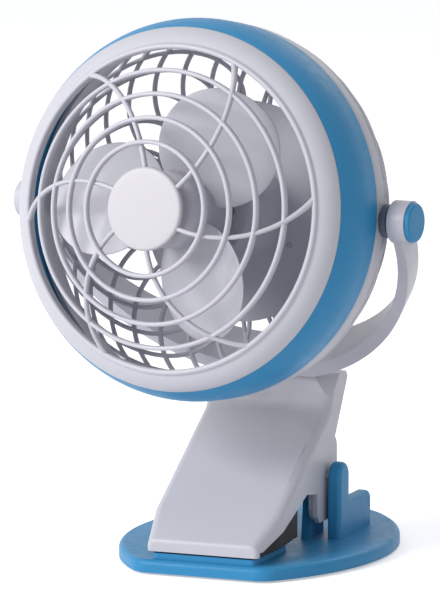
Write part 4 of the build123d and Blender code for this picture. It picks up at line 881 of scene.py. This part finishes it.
impeller = bmesh.new()
add_turned(impeller, hub_section(), HUB_STEPS)
for blade in range(BLADE_COUNT):
    add_blade(impeller, BLADE_FIRST_ANGLE + blade * 360 / BLADE_COUNT)
finished("impeller_petals", impeller, HEAD, "impeller")


# ------------------------------------------------------------------- rubber pads
def half_width(y, inset):
    """Half the jaw's width at a place along it, drawn in by an inset."""
    share = min(1.0, max(0.0, (y - JAW_LIP_Y) / (JAW_FULL_WIDTH_Y - JAW_LIP_Y)))
    return JAW_LIP_HALF_WIDTH + (JAW_HALF_WIDTH - JAW_LIP_HALF_WIDTH) * share - inset


def add_ribbed(shape, stations):
    """Adds a pad from stations of (y, half width, underside, top)."""
    rows = [[shape.verts.new((x, y, z)) for x, z in
             ((-half, low), (half, low), (half, high), (-half, high))]
            for y, half, low, high in stations]
    add_skin(shape, rows, ends=True)


def tooth(y, start, end):
    """Height of the moulded teeth along a pad, from 0 to 1, plain near both ends."""
    if y < start or y > end:
        return 1.0
    wave = 0.5 + 0.5 * math.cos(2 * math.pi * (y - start) / PAD_TOOTH)
    return wave**PAD_TOOTH_POWER


def pad_box(node):
    """A node's box in millimetres."""
    low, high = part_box(node)
    return [value / MM for value in low], [value / MM for value in high]


def lower_pad():
    """Flat pad in the plate's grip, with teeth across its top."""
    low, high = pad_box("lower_jaw_pad")
    stations = []
    for i in range(LOWER_PAD_STEPS + 1):
        y = low[1] + (high[1] - low[1]) * i / LOWER_PAD_STEPS
        gap = 1 - tooth(y, low[1] + PAD_END, high[1] - PAD_END)
        drop = gap * LOWER_TOOTH_SHARE * PAD_TOOTH_DEPTH
        stations.append((y, high[0], low[2], high[2] - drop))
    shape = bmesh.new()
    add_ribbed(shape, stations)
    finished("lower_pad_rubber", shape, Matrix(), "lower_jaw_pad", bevel=0.25, angle=60)


def upper_pad():
    """Wedge under the jaw, with teeth across its underside."""
    low, high = pad_box("upper_jaw_pad")
    nose = JAW_LIP_Y + 2 * JAW_LIP_THICKNESS
    nose_top = low[2] + PAD_NOSE
    stations = []
    for i in range(UPPER_PAD_STEPS + 1):
        y = low[1] + (high[1] - low[1]) * i / UPPER_PAD_STEPS
        share = max(0.0, (y - low[1] - PAD_TIP) / (high[1] - low[1] - PAD_TIP))
        gap = 1 - tooth(y, low[1] + PAD_TIP + 1, high[1] - PAD_END)
        under = low[2] + PAD_RISE * share + gap * PAD_TOOTH_DEPTH
        top = nose_top + max(0.0, (y - nose) / (high[1] - nose)) * (high[2] - nose_top)
        stations.append((y, half_width(y, JAW_WALL / 2), under, top))
    shape = bmesh.new()
    add_ribbed(shape, stations)
    finished("upper_pad_rubber", shape, Matrix(), "upper_jaw_pad", bevel=0.25, angle=60)


def foot_rubbers():
    """Round feet, one at each spot, with a soft edge, two grooves and a dimple below."""
    low, high = pad_box("foot_pads")
    ground, top = low[2], high[2]
    edge = flat_arc((FOOT_RADIUS, ground + FOOT_ROUND),
                    (FOOT_RADIUS - FOOT_BEND, ground + FOOT_BEND),
                    (FOOT_RADIUS - FOOT_ROUND, ground), 6)
    grooves = []
    for middle in FOOT_GROOVES:
        grooves += [
            (middle + FOOT_GROOVE_HALF, ground),
            (middle + FOOT_GROOVE_FLOOR, ground + FOOT_GROOVE_DEPTH),
            (middle - FOOT_GROOVE_FLOOR, ground + FOOT_GROOVE_DEPTH),
            (middle - FOOT_GROOVE_HALF, ground),
        ]
    mouth, floor = FOOT_DIMPLE
    section = [(FOOT_RADIUS, top)] + edge + grooves + [
        (mouth, ground),
        (floor, ground + FOOT_DIMPLE_DEPTH),
        (FOOT_AXIS, ground + FOOT_DIMPLE_DEPTH),
        (FOOT_AXIS, top),
    ]
    shape = bmesh.new()
    for x, y in FOOT_SPOTS:
        add_turned(shape, section, FOOT_STEPS, Matrix.Translation((x, y, 0)))
    finished("foot_rubbers", shape, Matrix(), "foot_pads", weld=WELD)


lower_pad()
upper_pad()
foot_rubbers()

add_camera()
add_world()
add_floor()
for name, (location, size, power) in LAMPS.items():
    add_lamp(name, location, size, power)
